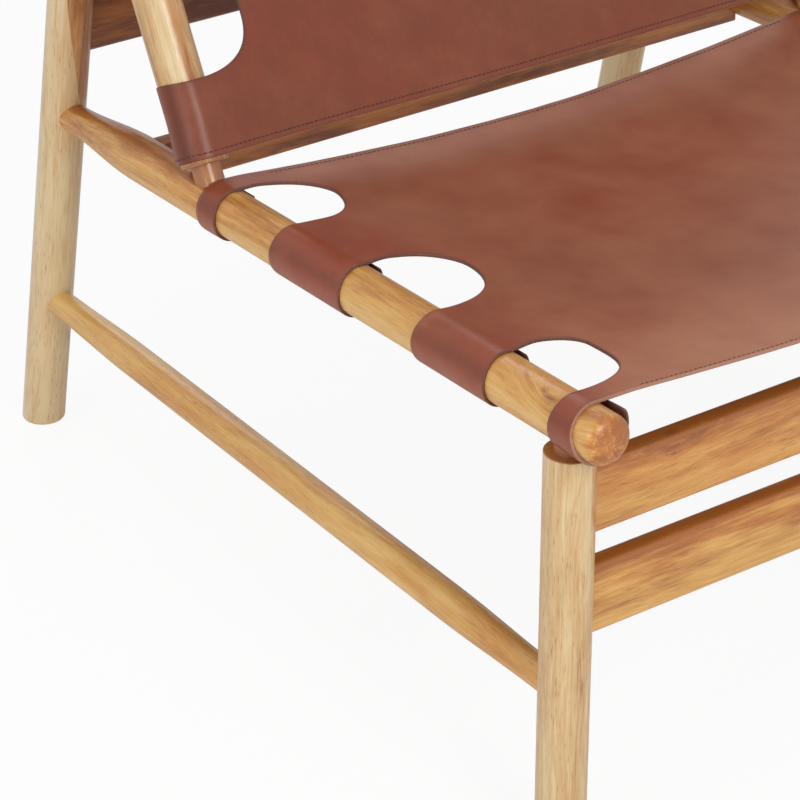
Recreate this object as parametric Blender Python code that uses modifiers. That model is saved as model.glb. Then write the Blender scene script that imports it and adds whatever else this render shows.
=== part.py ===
"""Leather lounge chair: round teak bars, flat cross rails and two looped leather slings.

Units are metres and +Z is up. The chair faces -Y, its plane of symmetry is X = 0, and its
origin lies on the floor under the middle of its outline. Each side frame lies in a plane of
constant X and is laid out from the front leg's axis: setbacks run rearward from it.
"Left" is the -X side, as seen from the front of the chair.
"""

import math

import bmesh
import bpy
from mathutils import Matrix, Vector

# Side frames
BAR_DIAMETER = 0.040
RAIL_SPACING = 0.652          # between the axes of the two seat rails
SEAT_FRONT_HEIGHT = 0.379     # seat rail axis above the floor, over the front leg
SEAT_SLOPE_ANGLE = math.radians(2.62)
RAIL_OVERHANG = 0.052         # seat rail in front of the front leg's axis
REAR_FOOT_SETBACK = 0.8086
REAR_LEG_ANGLE = math.radians(12.17)      # lean towards the front
BACK_POST_SETBACK = 0.4785    # where the post's axis meets the seat rail's axis
BACK_ANGLE = math.radians(28.97)
STRETCHER_DIAMETER = 0.030
STRETCHER_HEIGHT = 0.1433

# Turned ends and joints
DOME_LENGTH = 0.010           # rounded free end of a seat rail or a post
TAPER_LENGTH = 0.115
STRETCHER_TAPER_LENGTH = 0.130
BAR_TENON_DIAMETER = 0.026    # tapered end of a seat rail or a rear leg
SHOULDER_TENON_DIAMETER = 0.025
STRETCHER_TENON_DIAMETER = 0.025
TENON_PAST_AXIS = 0.005       # how far a tenon reaches past the axis of the bar it enters
POST_SHOULDER_RISE = 0.034    # post shoulder above the seat rail's axis, along the post
FOOT_ROUNDING = 0.003
FIT_GAP = 0.0003

# Flat cross rails
BOARD_THICKNESS = 0.020
BOARD_HEIGHT = 0.060
BOARD_EDGE_RADIUS = 0.006
BOARD_SHORT_OF_AXIS = 0.004   # end of a board in its mortise, measured from the bar's axis
FRONT_BOARD_DROP = 0.014      # top of the upper front board below the top of the leg
FRONT_BOARD_GAP = 0.028
REAR_BOARD_HEIGHT = 0.070
REAR_BOARD_RISE = 0.416       # underside of the rear board, along the rear leg from the floor
CROSS_RAIL_HEIGHT = 0.040
CROSS_RAIL_DROP = 0.003       # middle of the cross rail below the seat rails' axes
CROSS_RAIL_TENON_HEIGHT = 0.022
CROSS_RAIL_SETBACK = 0.590
CROSS_RAIL_EDGE_RADIUS = 0.003

# Leather slings
LEATHER_THICKNESS = 0.0035
FLAP_END_ANGLE = math.radians(318)   # turn round the bar, from its crown over its outer side
SEAT_FRONT_REACH = 0.034      # front edge of the seat's front loops ahead of the leg's axis
SEAT_FRONT_SETBACK = 0.009    # front edge between the bars, behind that of the loops
SEAT_FRONT_TAB = 0.032
SEAT_MIDDLE_TAB = 0.091
SEAT_REAR_TAB = 0.029
SEAT_MIDDLE_GAP = 0.100
SEAT_MIDDLE_GAP_SETBACK = 0.219      # middle of that gap behind the front leg's axis
SEAT_SAGS = (0.012, 0.029, 0.022)    # at the front edge, half way and the rear edge
SEAT_EDGE_GAP = 0.001         # rear edge of the seat leather to the post's tenon
SEAT_CUTOUT_REACH = 0.068     # inner end of a cut-out from the bar's axis
CUTOUT_CORNER_SHARE = 0.72    # corner radius of a cut-out, of half its width
CUTOUT_UNDER_SHARE = 0.22     # how much narrower a cut-out is under the bar than over it
BACK_END_TAB = 0.065
BACK_GAP = 0.090
BACK_CUTOUT_REACH = 0.062
BACK_EDGE_RISE = 0.004        # lower edge of the back leather above the post's shoulder
BACK_SAGS = (0.010, 0.022, 0.014)

# Top bar and post ends
TOP_BAR_CLEARANCE = 0.008     # between the back leather's top edge and the top bar
POST_TOP_REACH = 0.030        # post above the top bar's axis

# Screws that hold the loops' loose ends
SCREW_SHANK_DIAMETER = 0.003
SCREW_HEAD_DIAMETER = 0.008
SCREW_HEAD_HEIGHT = 0.0022
SCREW_GRIP = 0.012            # depth of the shank in the wood
SCREW_ANGLE = math.radians(250)
END_TAB_SCREW_INSET = 0.011
MIDDLE_SCREW_SHARE = 0.25     # place of a middle tab's two screws, from either edge

# Glides under the feet
GLIDE_DIAMETER = 0.022
GLIDE_THICKNESS = 0.004
GLIDE_PROUD = 0.0015          # how far a glide stands out of the foot
GLIDE_ROUNDING = 0.0005

# Fineness of the meshes
BAR_SIDES = 24
SMALL_SIDES = 8
GLIDE_SIDES = 16
CURVE_STEPS = 4
EDGE_STEPS = 2
CUTOUT_STEPS = 5
ARC_STEPS = 14
SAG_STEPS = 5
ROW_STEPS = 4
CUT_OVERRUN = 0.010

TEAK_PALE = (0.66, 0.47, 0.23, 1.0)
TEAK_WARM = (0.52, 0.27, 0.09, 1.0)
COGNAC = (0.25, 0.08, 0.05, 1.0)
STEEL = (0.55, 0.55, 0.56, 1.0)
NYLON = (0.03, 0.03, 0.03, 1.0)

BAR_RADIUS = BAR_DIAMETER / 2
HALF_SPAN = RAIL_SPACING / 2
SIDES = {"left": -1.0, "right": 1.0}
FRONT_LEG_AXIS = (Vector((0.0, 0.0)), Vector((0.0, 1.0)))
RAIL_AXIS = (
    Vector((0.0, SEAT_FRONT_HEIGHT)),
    Vector((math.cos(SEAT_SLOPE_ANGLE), -math.sin(SEAT_SLOPE_ANGLE))),
)
REAR_LEG_AXIS = (
    Vector((REAR_FOOT_SETBACK, 0.0)),
    Vector((-math.sin(REAR_LEG_ANGLE), math.cos(REAR_LEG_ANGLE))),
)
STRETCHER_AXIS = (Vector((0.0, STRETCHER_HEIGHT)), Vector((1.0, 0.0)))


def crossing(first, second):
    """Distances along two axes of a side frame to the point where they cross."""
    offset = second[0] - first[0]
    turn = first[1].cross(second[1])
    return offset.cross(second[1]) / turn, offset.cross(first[1]) / turn


def crossing_angle(first, second):
    """Acute angle between two axes of a side frame."""
    return math.acos(min(1.0, abs(first[1].dot(second[1]))))


def straight_reach(tenon_radius, angle):
    """Length of bare tenon outside a bar's axis that clears its surface at this angle."""
    return BAR_RADIUS / math.sin(angle) + tenon_radius / math.tan(angle)


POST_AXIS = (
    RAIL_AXIS[0] + RAIL_AXIS[1] * (BACK_POST_SETBACK / RAIL_AXIS[1].x),
    Vector((math.sin(BACK_ANGLE), math.cos(BACK_ANGLE))),
)
RAIL_TO_POST = BACK_POST_SETBACK / RAIL_AXIS[1].x
RAIL_TO_LEG, LEG_TO_RAIL = crossing(RAIL_AXIS, REAR_LEG_AXIS)
LEG_TO_POST, POST_TO_LEG = crossing(REAR_LEG_AXIS, POST_AXIS)
STRETCHER_TO_LEG, LEG_TO_STRETCHER = crossing(STRETCHER_AXIS, REAR_LEG_AXIS)

# The leather turns round a bar in flat steps, each of which clears the round bar
STEP_SPREAD = math.cos(FLAP_END_ANGLE / ARC_STEPS / 2)
LOOP_RADIUS = (BAR_RADIUS + FIT_GAP + LEATHER_THICKNESS / 2) / STEP_SPREAD
LOOP_OUTSIDE = (BAR_RADIUS + FIT_GAP + LEATHER_THICKNESS) / STEP_SPREAD
LEG_TOP = (
    SEAT_FRONT_HEIGHT
    - BAR_RADIUS * math.tan(SEAT_SLOPE_ANGLE)
    - (LOOP_OUTSIDE + FIT_GAP) / math.cos(SEAT_SLOPE_ANGLE)
)

# Stations along the seat rail, from the front leg's axis
POST_TILT_ANGLE = BACK_ANGLE - SEAT_SLOPE_ANGLE
SEAT_START = -SEAT_FRONT_REACH
SEAT_END = (
    RAIL_TO_POST
    + BAR_RADIUS * math.tan(POST_TILT_ANGLE)
    - SHOULDER_TENON_DIAMETER / 2 / math.cos(POST_TILT_ANGLE)
    - SEAT_EDGE_GAP
)
SEAT_MIDDLE_GAP_START = SEAT_MIDDLE_GAP_SETBACK - SEAT_MIDDLE_GAP / 2
SEAT_MIDDLE_GAP_END = SEAT_MIDDLE_GAP_SETBACK + SEAT_MIDDLE_GAP / 2
SEAT_GAPS = (
    (SEAT_START + SEAT_FRONT_TAB, SEAT_MIDDLE_GAP_START - SEAT_MIDDLE_TAB),
    (SEAT_MIDDLE_GAP_START, SEAT_MIDDLE_GAP_END),
    (SEAT_MIDDLE_GAP_END + SEAT_MIDDLE_TAB, SEAT_END - SEAT_REAR_TAB),
)

# Stations along the back post, from the seat rail's axis
LEG_ANGLE = crossing_angle(REAR_LEG_AXIS, POST_AXIS)
LEG_ENTRY = POST_TO_LEG - LOOP_OUTSIDE / math.tan(LEG_ANGLE)
BACK_START = POST_SHOULDER_RISE + BACK_EDGE_RISE
BACK_GAPS = (
    (BACK_START + BACK_END_TAB, BACK_START + BACK_END_TAB + BACK_GAP),
    (LEG_ENTRY - BACK_GAP / 2, LEG_ENTRY + BACK_GAP / 2),
)
BACK_END = BACK_GAPS[1][1] + BACK_END_TAB
TOP_BAR_RISE = BACK_END + TOP_BAR_CLEARANCE + STRETCHER_DIAMETER / 2
POST_LENGTH = TOP_BAR_RISE + POST_TOP_REACH

# The outline's middle, measured from the front leg's axis
FRONT_REACH = RAIL_OVERHANG * math.cos(SEAT_SLOPE_ANGLE)
REAR_REACH = REAR_FOOT_SETBACK + BAR_RADIUS / math.cos(REAR_LEG_ANGLE)
MIDDLE_SETBACK = (REAR_REACH - FRONT_REACH) / 2


def clear_scene():
    """Remove every object of the scene."""
    for item in list(bpy.data.objects):
        bpy.data.objects.remove(item, do_unlink=True)


def new_collection(name):
    """Make a collection and link it to the scene."""
    group = bpy.data.collections.new(name)
    bpy.context.scene.collection.children.link(group)
    return group


def frame_on(axis, across=0.0, along=0.0):
    """Matrix whose +Z runs along a side frame's axis and whose +X is the chair's +X."""
    place = axis[0] + axis[1] * along
    forward = Vector((0.0, axis[1].x, axis[1].y))
    side = Vector((1.0, 0.0, 0.0))
    matrix = Matrix((side, forward.cross(side), forward)).transposed().to_4x4()
    matrix.translation = Vector((across, place.x - MIDDLE_SETBACK, place.y))
    return matrix


def add_material(item, colour, roughness, metallic=0.0):
    """Give an object a material of its own."""
    surface = bpy.data.materials.new(item.name + "_finish")
    surface.use_nodes = True
    shader = surface.node_tree.nodes["Principled BSDF"]
    shader.inputs["Base Color"].default_value = colour
    shader.inputs["Roughness"].default_value = roughness
    shader.inputs["Metallic"].default_value = metallic
    surface.diffuse_color = colour
    item.data.materials.append(surface)


class Chair:
    """The chair's two collections, and the tools that put pieces and cutters in them."""

    def __init__(self):
        self.pieces = new_collection("leather_lounge_chair")
        self.cutters = new_collection("cutters")

    def piece(self, name, mesh, matrix):
        """Add a real piece of the chair."""
        item = bpy.data.objects.new(name, mesh)
        item.matrix_world = matrix
        self.pieces.objects.link(item)
        return item

    def cutter(self, name, mesh, matrix):
        """Add a shape that only cuts or completes other pieces."""
        item = bpy.data.objects.new(name, mesh)
        item.matrix_world = matrix
        item.hide_render = True
        item.display_type = "WIRE"
        self.cutters.objects.link(item)
        return item


def combine(item, others, operation="DIFFERENCE"):
    """Cut shapes out of an object, or join them to it."""
    for other in others:
        modifier = item.modifiers.new(other.name, "BOOLEAN")
        modifier.operation = operation
        modifier.object = other
        modifier.solver = "EXACT"


def profile_mesh(name, profile):
    """Mesh of a turned shape's outline: radius and height pairs, top to bottom."""
    mesh = bpy.data.meshes.new(name)
    rising = profile[0][1] < profile[-1][1]
    points = [(radius, 0.0, height) for radius, height in profile]
    if rising:
        points.reverse()
    edges = [(step, step + 1) for step in range(len(points) - 1)]
    mesh.from_pydata(points, edges, [])
    return mesh


def turn(item, sides):
    """Turn an outline round its own Z axis."""
    modifier = item.modifiers.new("turned", "SCREW")
    modifier.axis = "Z"
    modifier.angle = math.tau
    modifier.steps = sides
    modifier.render_steps = sides
    modifier.use_merge_vertices = True
    modifier.merge_threshold = FIT_GAP / 10
    modifier.use_smooth_shade = True
    return item


def dome(radius, tip, length, steps=CURVE_STEPS):
    """Outline points of a rounded end, from its tip to the full radius."""
    points = []
    for step in range(steps + 1):
        angle = math.pi / 2 * step / steps
        points.append((radius * math.sin(angle) ** 0.8, tip + length * (1 - math.cos(angle))))
    return points


def taper(start_radius, end_radius, start, end):
    """Outline points of a smooth change of radius."""
    points = []
    for step in range(CURVE_STEPS + 1):
        share = step / CURVE_STEPS
        blend = (1 - math.cos(math.pi * share)) / 2
        radius = start_radius + (end_radius - start_radius) * blend
        points.append((radius, start + (end - start) * share))
    return points


def rounded_foot(radius, height, rounding):
    """Outline points of a foot with a rounded edge, from its centre up."""
    points = [(0.0, height)]
    for step in range(EDGE_STEPS + 1):
        angle = math.pi / 2 * step / EDGE_STEPS
        reach = radius - rounding * (1 - math.sin(angle))
        points.append((reach, height + rounding * (1 - math.cos(angle))))
    return points


def hole(chair, name, matrix, radius, start, end, sides=BAR_SIDES):
    """Cutter for a round socket, with the fit gap all round."""
    grown = radius + FIT_GAP
    outline = [(0.0, start), (grown, start), (grown, end), (0.0, end)]
    return turn(chair.cutter(name, profile_mesh(name, outline), matrix), sides)


def box_mesh(name, size, edge_radius, axis, steps=EDGE_STEPS):
    """Mesh of a box whose edges along one axis are rounded."""
    mesh = bpy.data.meshes.new(name)
    solid = bmesh.new()
    bmesh.ops.create_cube(solid, size=1.0)
    bmesh.ops.scale(solid, vec=size, verts=solid.verts)
    long_edges = []
    for edge in solid.edges:
        run = edge.verts[0].co - edge.verts[1].co
        if abs(run[axis]) > size[axis] / 2:
            long_edges.append(edge)
    bmesh.ops.bevel(
        solid, geom=long_edges, offset=edge_radius, segments=steps,
        affect="EDGES", profile=0.5,
    )
    solid.to_mesh(mesh)
    solid.free()
    return mesh


def grown_box_mesh(name, size, edge_radius, axis):
    """The same box with the fit gap added on every side."""
    grown = [length + 2 * FIT_GAP for length in size]
    return box_mesh(name, grown, edge_radius + FIT_GAP, axis)


def make_front_leg(chair, side, sign):
    """Upright front leg with a tenon that rises into the seat rail."""
    matrix = frame_on(FRONT_LEG_AXIS, sign * HALF_SPAN)
    tenon = SHOULDER_TENON_DIAMETER / 2
    tenon_top = SEAT_FRONT_HEIGHT + TENON_PAST_AXIS
    outline = rounded_foot(BAR_RADIUS, GLIDE_PROUD, FOOT_ROUNDING)
    outline += [(BAR_RADIUS, LEG_TOP), (tenon, LEG_TOP), (tenon, tenon_top), (0.0, tenon_top)]
    leg = chair.piece("front_leg_" + side, profile_mesh("front_leg", outline), matrix)
    turn(leg, BAR_SIDES)
    add_material(leg, TEAK_PALE, 0.45)
    tenon_cutter = hole(
        chair, "front_tenon_hole_" + side, matrix, tenon, LEG_TOP - BAR_RADIUS,
        tenon_top + FIT_GAP,
    )
    return leg, tenon_cutter


def make_rear_leg(chair, side, sign):
    """Leaning rear leg, cut level at the floor, its tapered top let into the back post."""
    matrix = frame_on(REAR_LEG_AXIS, sign * HALF_SPAN)
    tenon = BAR_TENON_DIAMETER / 2
    bare = LEG_TO_POST - straight_reach(tenon, LEG_ANGLE)
    end = LEG_TO_POST + TENON_PAST_AXIS
    outline = [(0.0, -BAR_DIAMETER), (BAR_RADIUS, -BAR_DIAMETER)]
    outline += taper(BAR_RADIUS, tenon, bare - TAPER_LENGTH, bare)
    outline += [(tenon, end), (0.0, end)]
    name = "rear_leg_" + side
    blank = turn(chair.piece(name, profile_mesh(name, outline), matrix), BAR_SIDES)
    leg = level_foot(chair, blank)
    add_material(leg, TEAK_PALE, 0.45)
    socket = hole(
        chair, "rear_leg_socket_" + side, matrix, tenon, bare, end + FIT_GAP,
    )
    return leg, socket


def level_foot(chair, blank):
    """Cut a leaning bar level at its foot, round the new edge and keep the result."""
    bpy.context.view_layer.update()
    graph = bpy.context.evaluated_depsgraph_get()
    mesh = bpy.data.meshes.new_from_object(blank.evaluated_get(graph))
    name, matrix = blank.name, blank.matrix_world.copy()
    bpy.data.objects.remove(blank, do_unlink=True)
    local = matrix.inverted()
    solid = bmesh.new()
    solid.from_mesh(mesh)
    bmesh.ops.remove_doubles(solid, verts=solid.verts, dist=FIT_GAP / 10)
    level = local @ Vector((0.0, matrix.translation.y, GLIDE_PROUD))
    down = local.to_3x3() @ Vector((0.0, 0.0, -1.0))
    cut = bmesh.ops.bisect_plane(
        solid, geom=solid.verts[:] + solid.edges[:] + solid.faces[:], dist=FIT_GAP / 100,
        plane_co=level, plane_no=down, clear_outer=True,
    )
    rim = [part for part in cut["geom_cut"] if isinstance(part, bmesh.types.BMEdge)]
    bmesh.ops.contextual_create(solid, geom=rim)
    bmesh.ops.bevel(
        solid, geom=rim, offset=FOOT_ROUNDING, segments=EDGE_STEPS,
        affect="EDGES", profile=0.5,
    )
    bmesh.ops.recalc_face_normals(solid, faces=solid.faces)
    for face in solid.faces:
        face.smooth = True
    solid.to_mesh(mesh)
    solid.free()
    mesh.set_sharp_from_angle(angle=math.radians(40))
    return chair.piece(name, mesh, matrix)


def make_seat_rail(chair, side, sign):
    """Seat rail with a rounded front end and a tapered rear end let into the rear leg."""
    matrix = frame_on(RAIL_AXIS, sign * HALF_SPAN)
    tenon = BAR_TENON_DIAMETER / 2
    bare = RAIL_TO_LEG - straight_reach(tenon, crossing_angle(RAIL_AXIS, REAR_LEG_AXIS))
    end = RAIL_TO_LEG + TENON_PAST_AXIS
    outline = dome(BAR_RADIUS, -RAIL_OVERHANG, DOME_LENGTH)
    outline += taper(BAR_RADIUS, tenon, bare - TAPER_LENGTH, bare)
    outline += [(tenon, end), (0.0, end)]
    name = "seat_rail_" + side
    rail = turn(chair.piece(name, profile_mesh(name, outline), matrix), BAR_SIDES)
    add_material(rail, TEAK_WARM, 0.4)
    socket = hole(chair, "seat_rail_socket_" + side, matrix, tenon, bare, end + FIT_GAP)
    return rail, socket


def make_back_post(chair, side, sign):
    """Leaning back post with a shouldered tenon at its foot and a rounded top."""
    matrix = frame_on(POST_AXIS, sign * HALF_SPAN)
    tenon = SHOULDER_TENON_DIAMETER / 2
    outline = [
        (0.0, -TENON_PAST_AXIS), (tenon, -TENON_PAST_AXIS), (tenon, POST_SHOULDER_RISE),
        (BAR_RADIUS, POST_SHOULDER_RISE),
    ]
    outline += reversed(dome(BAR_RADIUS, POST_LENGTH, -DOME_LENGTH))
    name = "back_post_" + side
    post = turn(chair.piece(name, profile_mesh(name, outline), matrix), BAR_SIDES)
    add_material(post, TEAK_PALE, 0.4)
    socket = hole(
        chair, "post_tenon_hole_" + side, matrix, tenon,
        -TENON_PAST_AXIS - FIT_GAP, POST_SHOULDER_RISE,
    )
    return post, socket


def round_rail(chair, name, matrix, start_joint, end_joint):
    """Slim round bar between two sockets; a joint is its axis station and bare reach."""
    tenon = STRETCHER_TENON_DIAMETER / 2
    radius = STRETCHER_DIAMETER / 2
    low, high = start_joint[0] - TENON_PAST_AXIS, end_joint[0] + TENON_PAST_AXIS
    low_bare, high_bare = start_joint[0] + start_joint[1], end_joint[0] - end_joint[1]
    outline = [(0.0, low), (tenon, low)]
    outline += taper(tenon, radius, low_bare, low_bare + STRETCHER_TAPER_LENGTH)
    outline += taper(radius, tenon, high_bare - STRETCHER_TAPER_LENGTH, high_bare)
    outline += [(tenon, high), (0.0, high)]
    bar = turn(chair.piece(name, profile_mesh(name, outline), matrix), BAR_SIDES)
    add_material(bar, TEAK_WARM, 0.4)
    sockets = (
        hole(chair, name + "_start_socket", matrix, tenon, low - FIT_GAP, low_bare),
        hole(chair, name + "_end_socket", matrix, tenon, high_bare, high + FIT_GAP),
    )
    return bar, sockets


def make_stretcher(chair, side, sign):
    """Level side stretcher between the front and the rear leg."""
    tenon = STRETCHER_TENON_DIAMETER / 2
    angle = crossing_angle(STRETCHER_AXIS, REAR_LEG_AXIS)
    return round_rail(
        chair, "side_stretcher_" + side, frame_on(STRETCHER_AXIS, sign * HALF_SPAN),
        (0.0, BAR_RADIUS), (STRETCHER_TO_LEG, straight_reach(tenon, angle)),
    )


def make_top_bar(chair):
    """Round bar that holds the two back posts apart above the leather."""
    matrix = frame_on(POST_AXIS, along=TOP_BAR_RISE) @ Matrix.Rotation(math.pi / 2, 4, "Y")
    return round_rail(
        chair, "back_top_bar", matrix, (-HALF_SPAN, BAR_RADIUS), (HALF_SPAN, BAR_RADIUS),
    )


def make_board(chair, name, matrix, height, edge_radius):
    """Flat cross rail with rounded long edges, its ends let into the bars as they are."""
    size = (2 * (HALF_SPAN - BOARD_SHORT_OF_AXIS), BOARD_THICKNESS, height)
    board = chair.piece(name, box_mesh(name, size, edge_radius, 0), matrix)
    add_material(board, TEAK_WARM, 0.45)
    mortise = chair.cutter(
        name + "_mortise", grown_box_mesh(name + "_mortise", size, edge_radius, 0), matrix,
    )
    return board, mortise


def make_front_boards(chair):
    """Upper and lower flat boards between the front legs."""
    boards = []
    top = LEG_TOP - FRONT_BOARD_DROP
    for name in ("front_rail_upper", "front_rail_lower"):
        matrix = frame_on(FRONT_LEG_AXIS, along=top - BOARD_HEIGHT / 2)
        boards.append(make_board(chair, name, matrix, BOARD_HEIGHT, BOARD_EDGE_RADIUS))
        top -= BOARD_HEIGHT + FRONT_BOARD_GAP
    return boards


def make_rear_board(chair):
    """Flat board between the rear legs, in the plane of their lean."""
    matrix = frame_on(REAR_LEG_AXIS, along=REAR_BOARD_RISE + REAR_BOARD_HEIGHT / 2)
    return make_board(chair, "rear_rail", matrix, REAR_BOARD_HEIGHT, BOARD_EDGE_RADIUS)


def make_cross_rail(chair):
    """Low cross rail between the seat rails, shaped to their round sides, with tenons."""
    station = CROSS_RAIL_SETBACK / RAIL_AXIS[1].x
    drop = Matrix.Translation((0.0, CROSS_RAIL_DROP, 0.0))
    matrix = frame_on(RAIL_AXIS, along=station) @ drop @ Matrix.Rotation(math.pi / 2, 4, "X")
    tenon_size = (
        2 * (HALF_SPAN - BOARD_SHORT_OF_AXIS), BOARD_THICKNESS, CROSS_RAIL_TENON_HEIGHT,
    )
    body_size = (RAIL_SPACING, BOARD_THICKNESS, CROSS_RAIL_HEIGHT)
    body_mesh = box_mesh("seat_cross_rail", body_size, CROSS_RAIL_EDGE_RADIUS, 0)
    rail = chair.piece("seat_cross_rail", body_mesh, matrix)
    add_material(rail, TEAK_WARM, 0.45)
    scribes = []
    for side, sign in SIDES.items():
        scribes.append(hole(
            chair, "scribe_" + side, frame_on(RAIL_AXIS, sign * HALF_SPAN), BAR_RADIUS,
            station - CROSS_RAIL_HEIGHT, station + CROSS_RAIL_HEIGHT,
        ))
    combine(rail, scribes)
    edge = CROSS_RAIL_EDGE_RADIUS / 2
    tongue = chair.cutter("cross_tongue", box_mesh("cross_tongue", tenon_size, edge, 0), matrix)
    combine(rail, [tongue], "UNION")
    mortise = chair.cutter(
        "cross_mortise", grown_box_mesh("cross_mortise", tenon_size, edge, 0), matrix,
    )
    return rail, mortise


def sag_at(sags, share):
    """Depth of a sling's belly at a share of its length, through three named depths."""
    first, middle, last = sags
    slope = 4 * middle - 3 * first - last
    bend = 2 * first + 2 * last - 4 * middle
    return first + slope * share + bend * share * share


def sling_section(step, sag):
    """Point of the leather's middle surface: inward from the bar's axis, and outward of it.

    Steps run from the loose end round the bar and on to the middle of the span.
    """
    span = HALF_SPAN
    slope = math.atan(2 * sag / span)
    if step <= ARC_STEPS:
        angle = FLAP_END_ANGLE + (-slope - FLAP_END_ANGLE) * step / ARC_STEPS
        return -LOOP_RADIUS * math.sin(angle), LOOP_RADIUS * math.cos(angle)
    leave = Vector((LOOP_RADIUS * math.sin(slope), LOOP_RADIUS * math.cos(slope)))
    run = span - leave.x
    share = (step - ARC_STEPS) / SAG_STEPS
    drop = math.tan(slope) * run * (share - share * share / 2)
    return leave.x + run * share, leave.y - drop


def edge_share(step, share):
    """How far a point of the leather follows the setback of its edge between the bars."""
    turned = min(1.0, max(0.0, 2 * step / ARC_STEPS - 1))
    return turned * (1 - share) ** 4


def sling_mesh(name, start, end, sags, setback):
    """Open middle surface of a sling, looped round both bars, from a flat grid."""
    half_steps = ARC_STEPS + SAG_STEPS
    mesh = bpy.data.meshes.new(name)
    sheet = bmesh.new()
    bmesh.ops.create_grid(sheet, x_segments=2 * half_steps, y_segments=ROW_STEPS, size=1.0)
    for vertex in sheet.verts:
        share = (vertex.co.y + 1) / 2
        column = round((vertex.co.x + 1) * half_steps)
        step = min(column, 2 * half_steps - column)
        sign = -1.0 if column <= half_steps else 1.0
        inward, outward = sling_section(step, sag_at(sags, share))
        along = start + (end - start) * share + setback * edge_share(step, share)
        vertex.co = Vector((sign * (HALF_SPAN - inward), -outward, along))
    bmesh.ops.reverse_faces(sheet, faces=sheet.faces)
    for face in sheet.faces:
        face.smooth = True
    sheet.to_mesh(mesh)
    sheet.free()
    return mesh


def cutout_mesh(name, width, reach, sag):
    """Cutter for a gap between tabs: rounded inside and narrower under the bar."""
    depth = 2 * (LOOP_OUTSIDE + sag + CUT_OVERRUN)
    length = 2 * reach + LOOP_OUTSIDE + CUT_OVERRUN
    corner = width / 2 * CUTOUT_CORNER_SHARE
    mesh = box_mesh(name, (length, depth, width), corner, 1, CUTOUT_STEPS)
    for vertex in mesh.vertices:
        share = (vertex.co.y + LOOP_RADIUS) / (2 * LOOP_RADIUS)
        vertex.co.z *= 1 - CUTOUT_UNDER_SHARE * share
    return mesh


def make_sling(chair, name, axis, start, end, sags, gaps, reach, setback=0.0):
    """Leather sling with looped tabs; the gaps between them are cut right through."""
    mesh = sling_mesh(name, start, end, sags, setback)
    item = chair.piece(name, mesh, frame_on(axis))
    shell = item.modifiers.new("leather", "SOLIDIFY")
    shell.thickness = LEATHER_THICKNESS
    shell.offset = 0.0
    shell.use_even_offset = True
    add_material(item, COGNAC, 0.5)
    for side, sign in SIDES.items():
        cuts = []
        for number, (low, high) in enumerate(gaps, 1):
            tag = f"{name}_gap_{side}_{number}"
            across = sign * (HALF_SPAN + (LOOP_OUTSIDE + CUT_OVERRUN) / 2)
            place = frame_on(axis, across, (low + high) / 2)
            shape = cutout_mesh(tag, high - low, reach, max(sags))
            cuts.append(chair.cutter(tag, shape, place))
        combine(item, cuts)
    return item


def screw_frame(axis, sign, station):
    """Frame of a screw: its +Z points out of the bar, on the inner side."""
    place = frame_on(axis, sign * HALF_SPAN, station)
    out = Vector((sign * math.sin(SCREW_ANGLE), -math.cos(SCREW_ANGLE), 0.0))
    turn_to = Vector((0.0, 0.0, 1.0)).rotation_difference(out).to_matrix().to_4x4()
    return place @ turn_to


def make_screws(chair, name, axis, stations, sling, bars):
    """Pan-head screws that hold the loose ends of one sling's loops."""
    seat = LOOP_RADIUS + LEATHER_THICKNESS / 2 + FIT_GAP
    tip = BAR_RADIUS - SCREW_GRIP
    shank = SCREW_SHANK_DIAMETER / 2
    outline = [(0.0, tip), (shank, tip), (shank, seat)]
    top = seat + SCREW_HEAD_HEIGHT
    outline += reversed(dome(SCREW_HEAD_DIAMETER / 2, top, -SCREW_HEAD_HEIGHT, EDGE_STEPS))
    for side, sign in SIDES.items():
        for number, station in enumerate(stations, 1):
            tag = f"{name}_{side}_{number}"
            place = screw_frame(axis, sign, station)
            screw = turn(chair.piece(tag, profile_mesh(tag, outline), place), SMALL_SIDES)
            add_material(screw, STEEL, 0.3, 1.0)
            bore = hole(
                chair, tag + "_bore", place, shank, tip - FIT_GAP,
                seat + SCREW_HEAD_HEIGHT, SMALL_SIDES,
            )
            combine(sling, [bore])
            combine(bars[side], [bore])


def seat_screw_stations():
    """One screw in each end tab, away from the joint beside it, and two in each middle tab."""
    stations = [SEAT_START + END_TAB_SCREW_INSET]
    for low, high in zip(SEAT_GAPS[:-1], SEAT_GAPS[1:]):
        width = high[0] - low[1]
        stations.append(low[1] + width * MIDDLE_SCREW_SHARE)
        stations.append(high[0] - width * MIDDLE_SCREW_SHARE)
    stations.append(SEAT_END - SEAT_REAR_TAB + END_TAB_SCREW_INSET)
    return stations


def back_screw_stations():
    """One screw in the lower and the upper tab, and two in the middle tab."""
    low, high = BACK_GAPS[0][1], BACK_GAPS[1][0]
    inset = (high - low) * MIDDLE_SCREW_SHARE
    return [
        BACK_START + BACK_END_TAB / 2, low + inset, high - inset, BACK_END - BACK_END_TAB / 2,
    ]


def make_glides(chair, legs):
    """Round glides let into the feet."""
    radius = GLIDE_DIAMETER / 2
    pocket = GLIDE_THICKNESS + FIT_GAP
    outline = rounded_foot(radius, 0.0, GLIDE_ROUNDING)
    outline += [(radius, GLIDE_THICKNESS), (0.0, GLIDE_THICKNESS)]
    for name, setback in (("front", 0.0), ("rear", REAR_FOOT_SETBACK)):
        for side, sign in SIDES.items():
            tag = f"glide_{name}_{side}"
            place = Matrix.Translation((sign * HALF_SPAN, setback - MIDDLE_SETBACK, 0.0))
            glide = turn(chair.piece(tag, profile_mesh(tag, outline), place), GLIDE_SIDES)
            add_material(glide, NYLON, 0.6)
            recess = hole(
                chair, tag + "_recess", place, radius, -GLIDE_THICKNESS, pocket,
                GLIDE_SIDES,
            )
            combine(legs[name, side], [recess])


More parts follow.
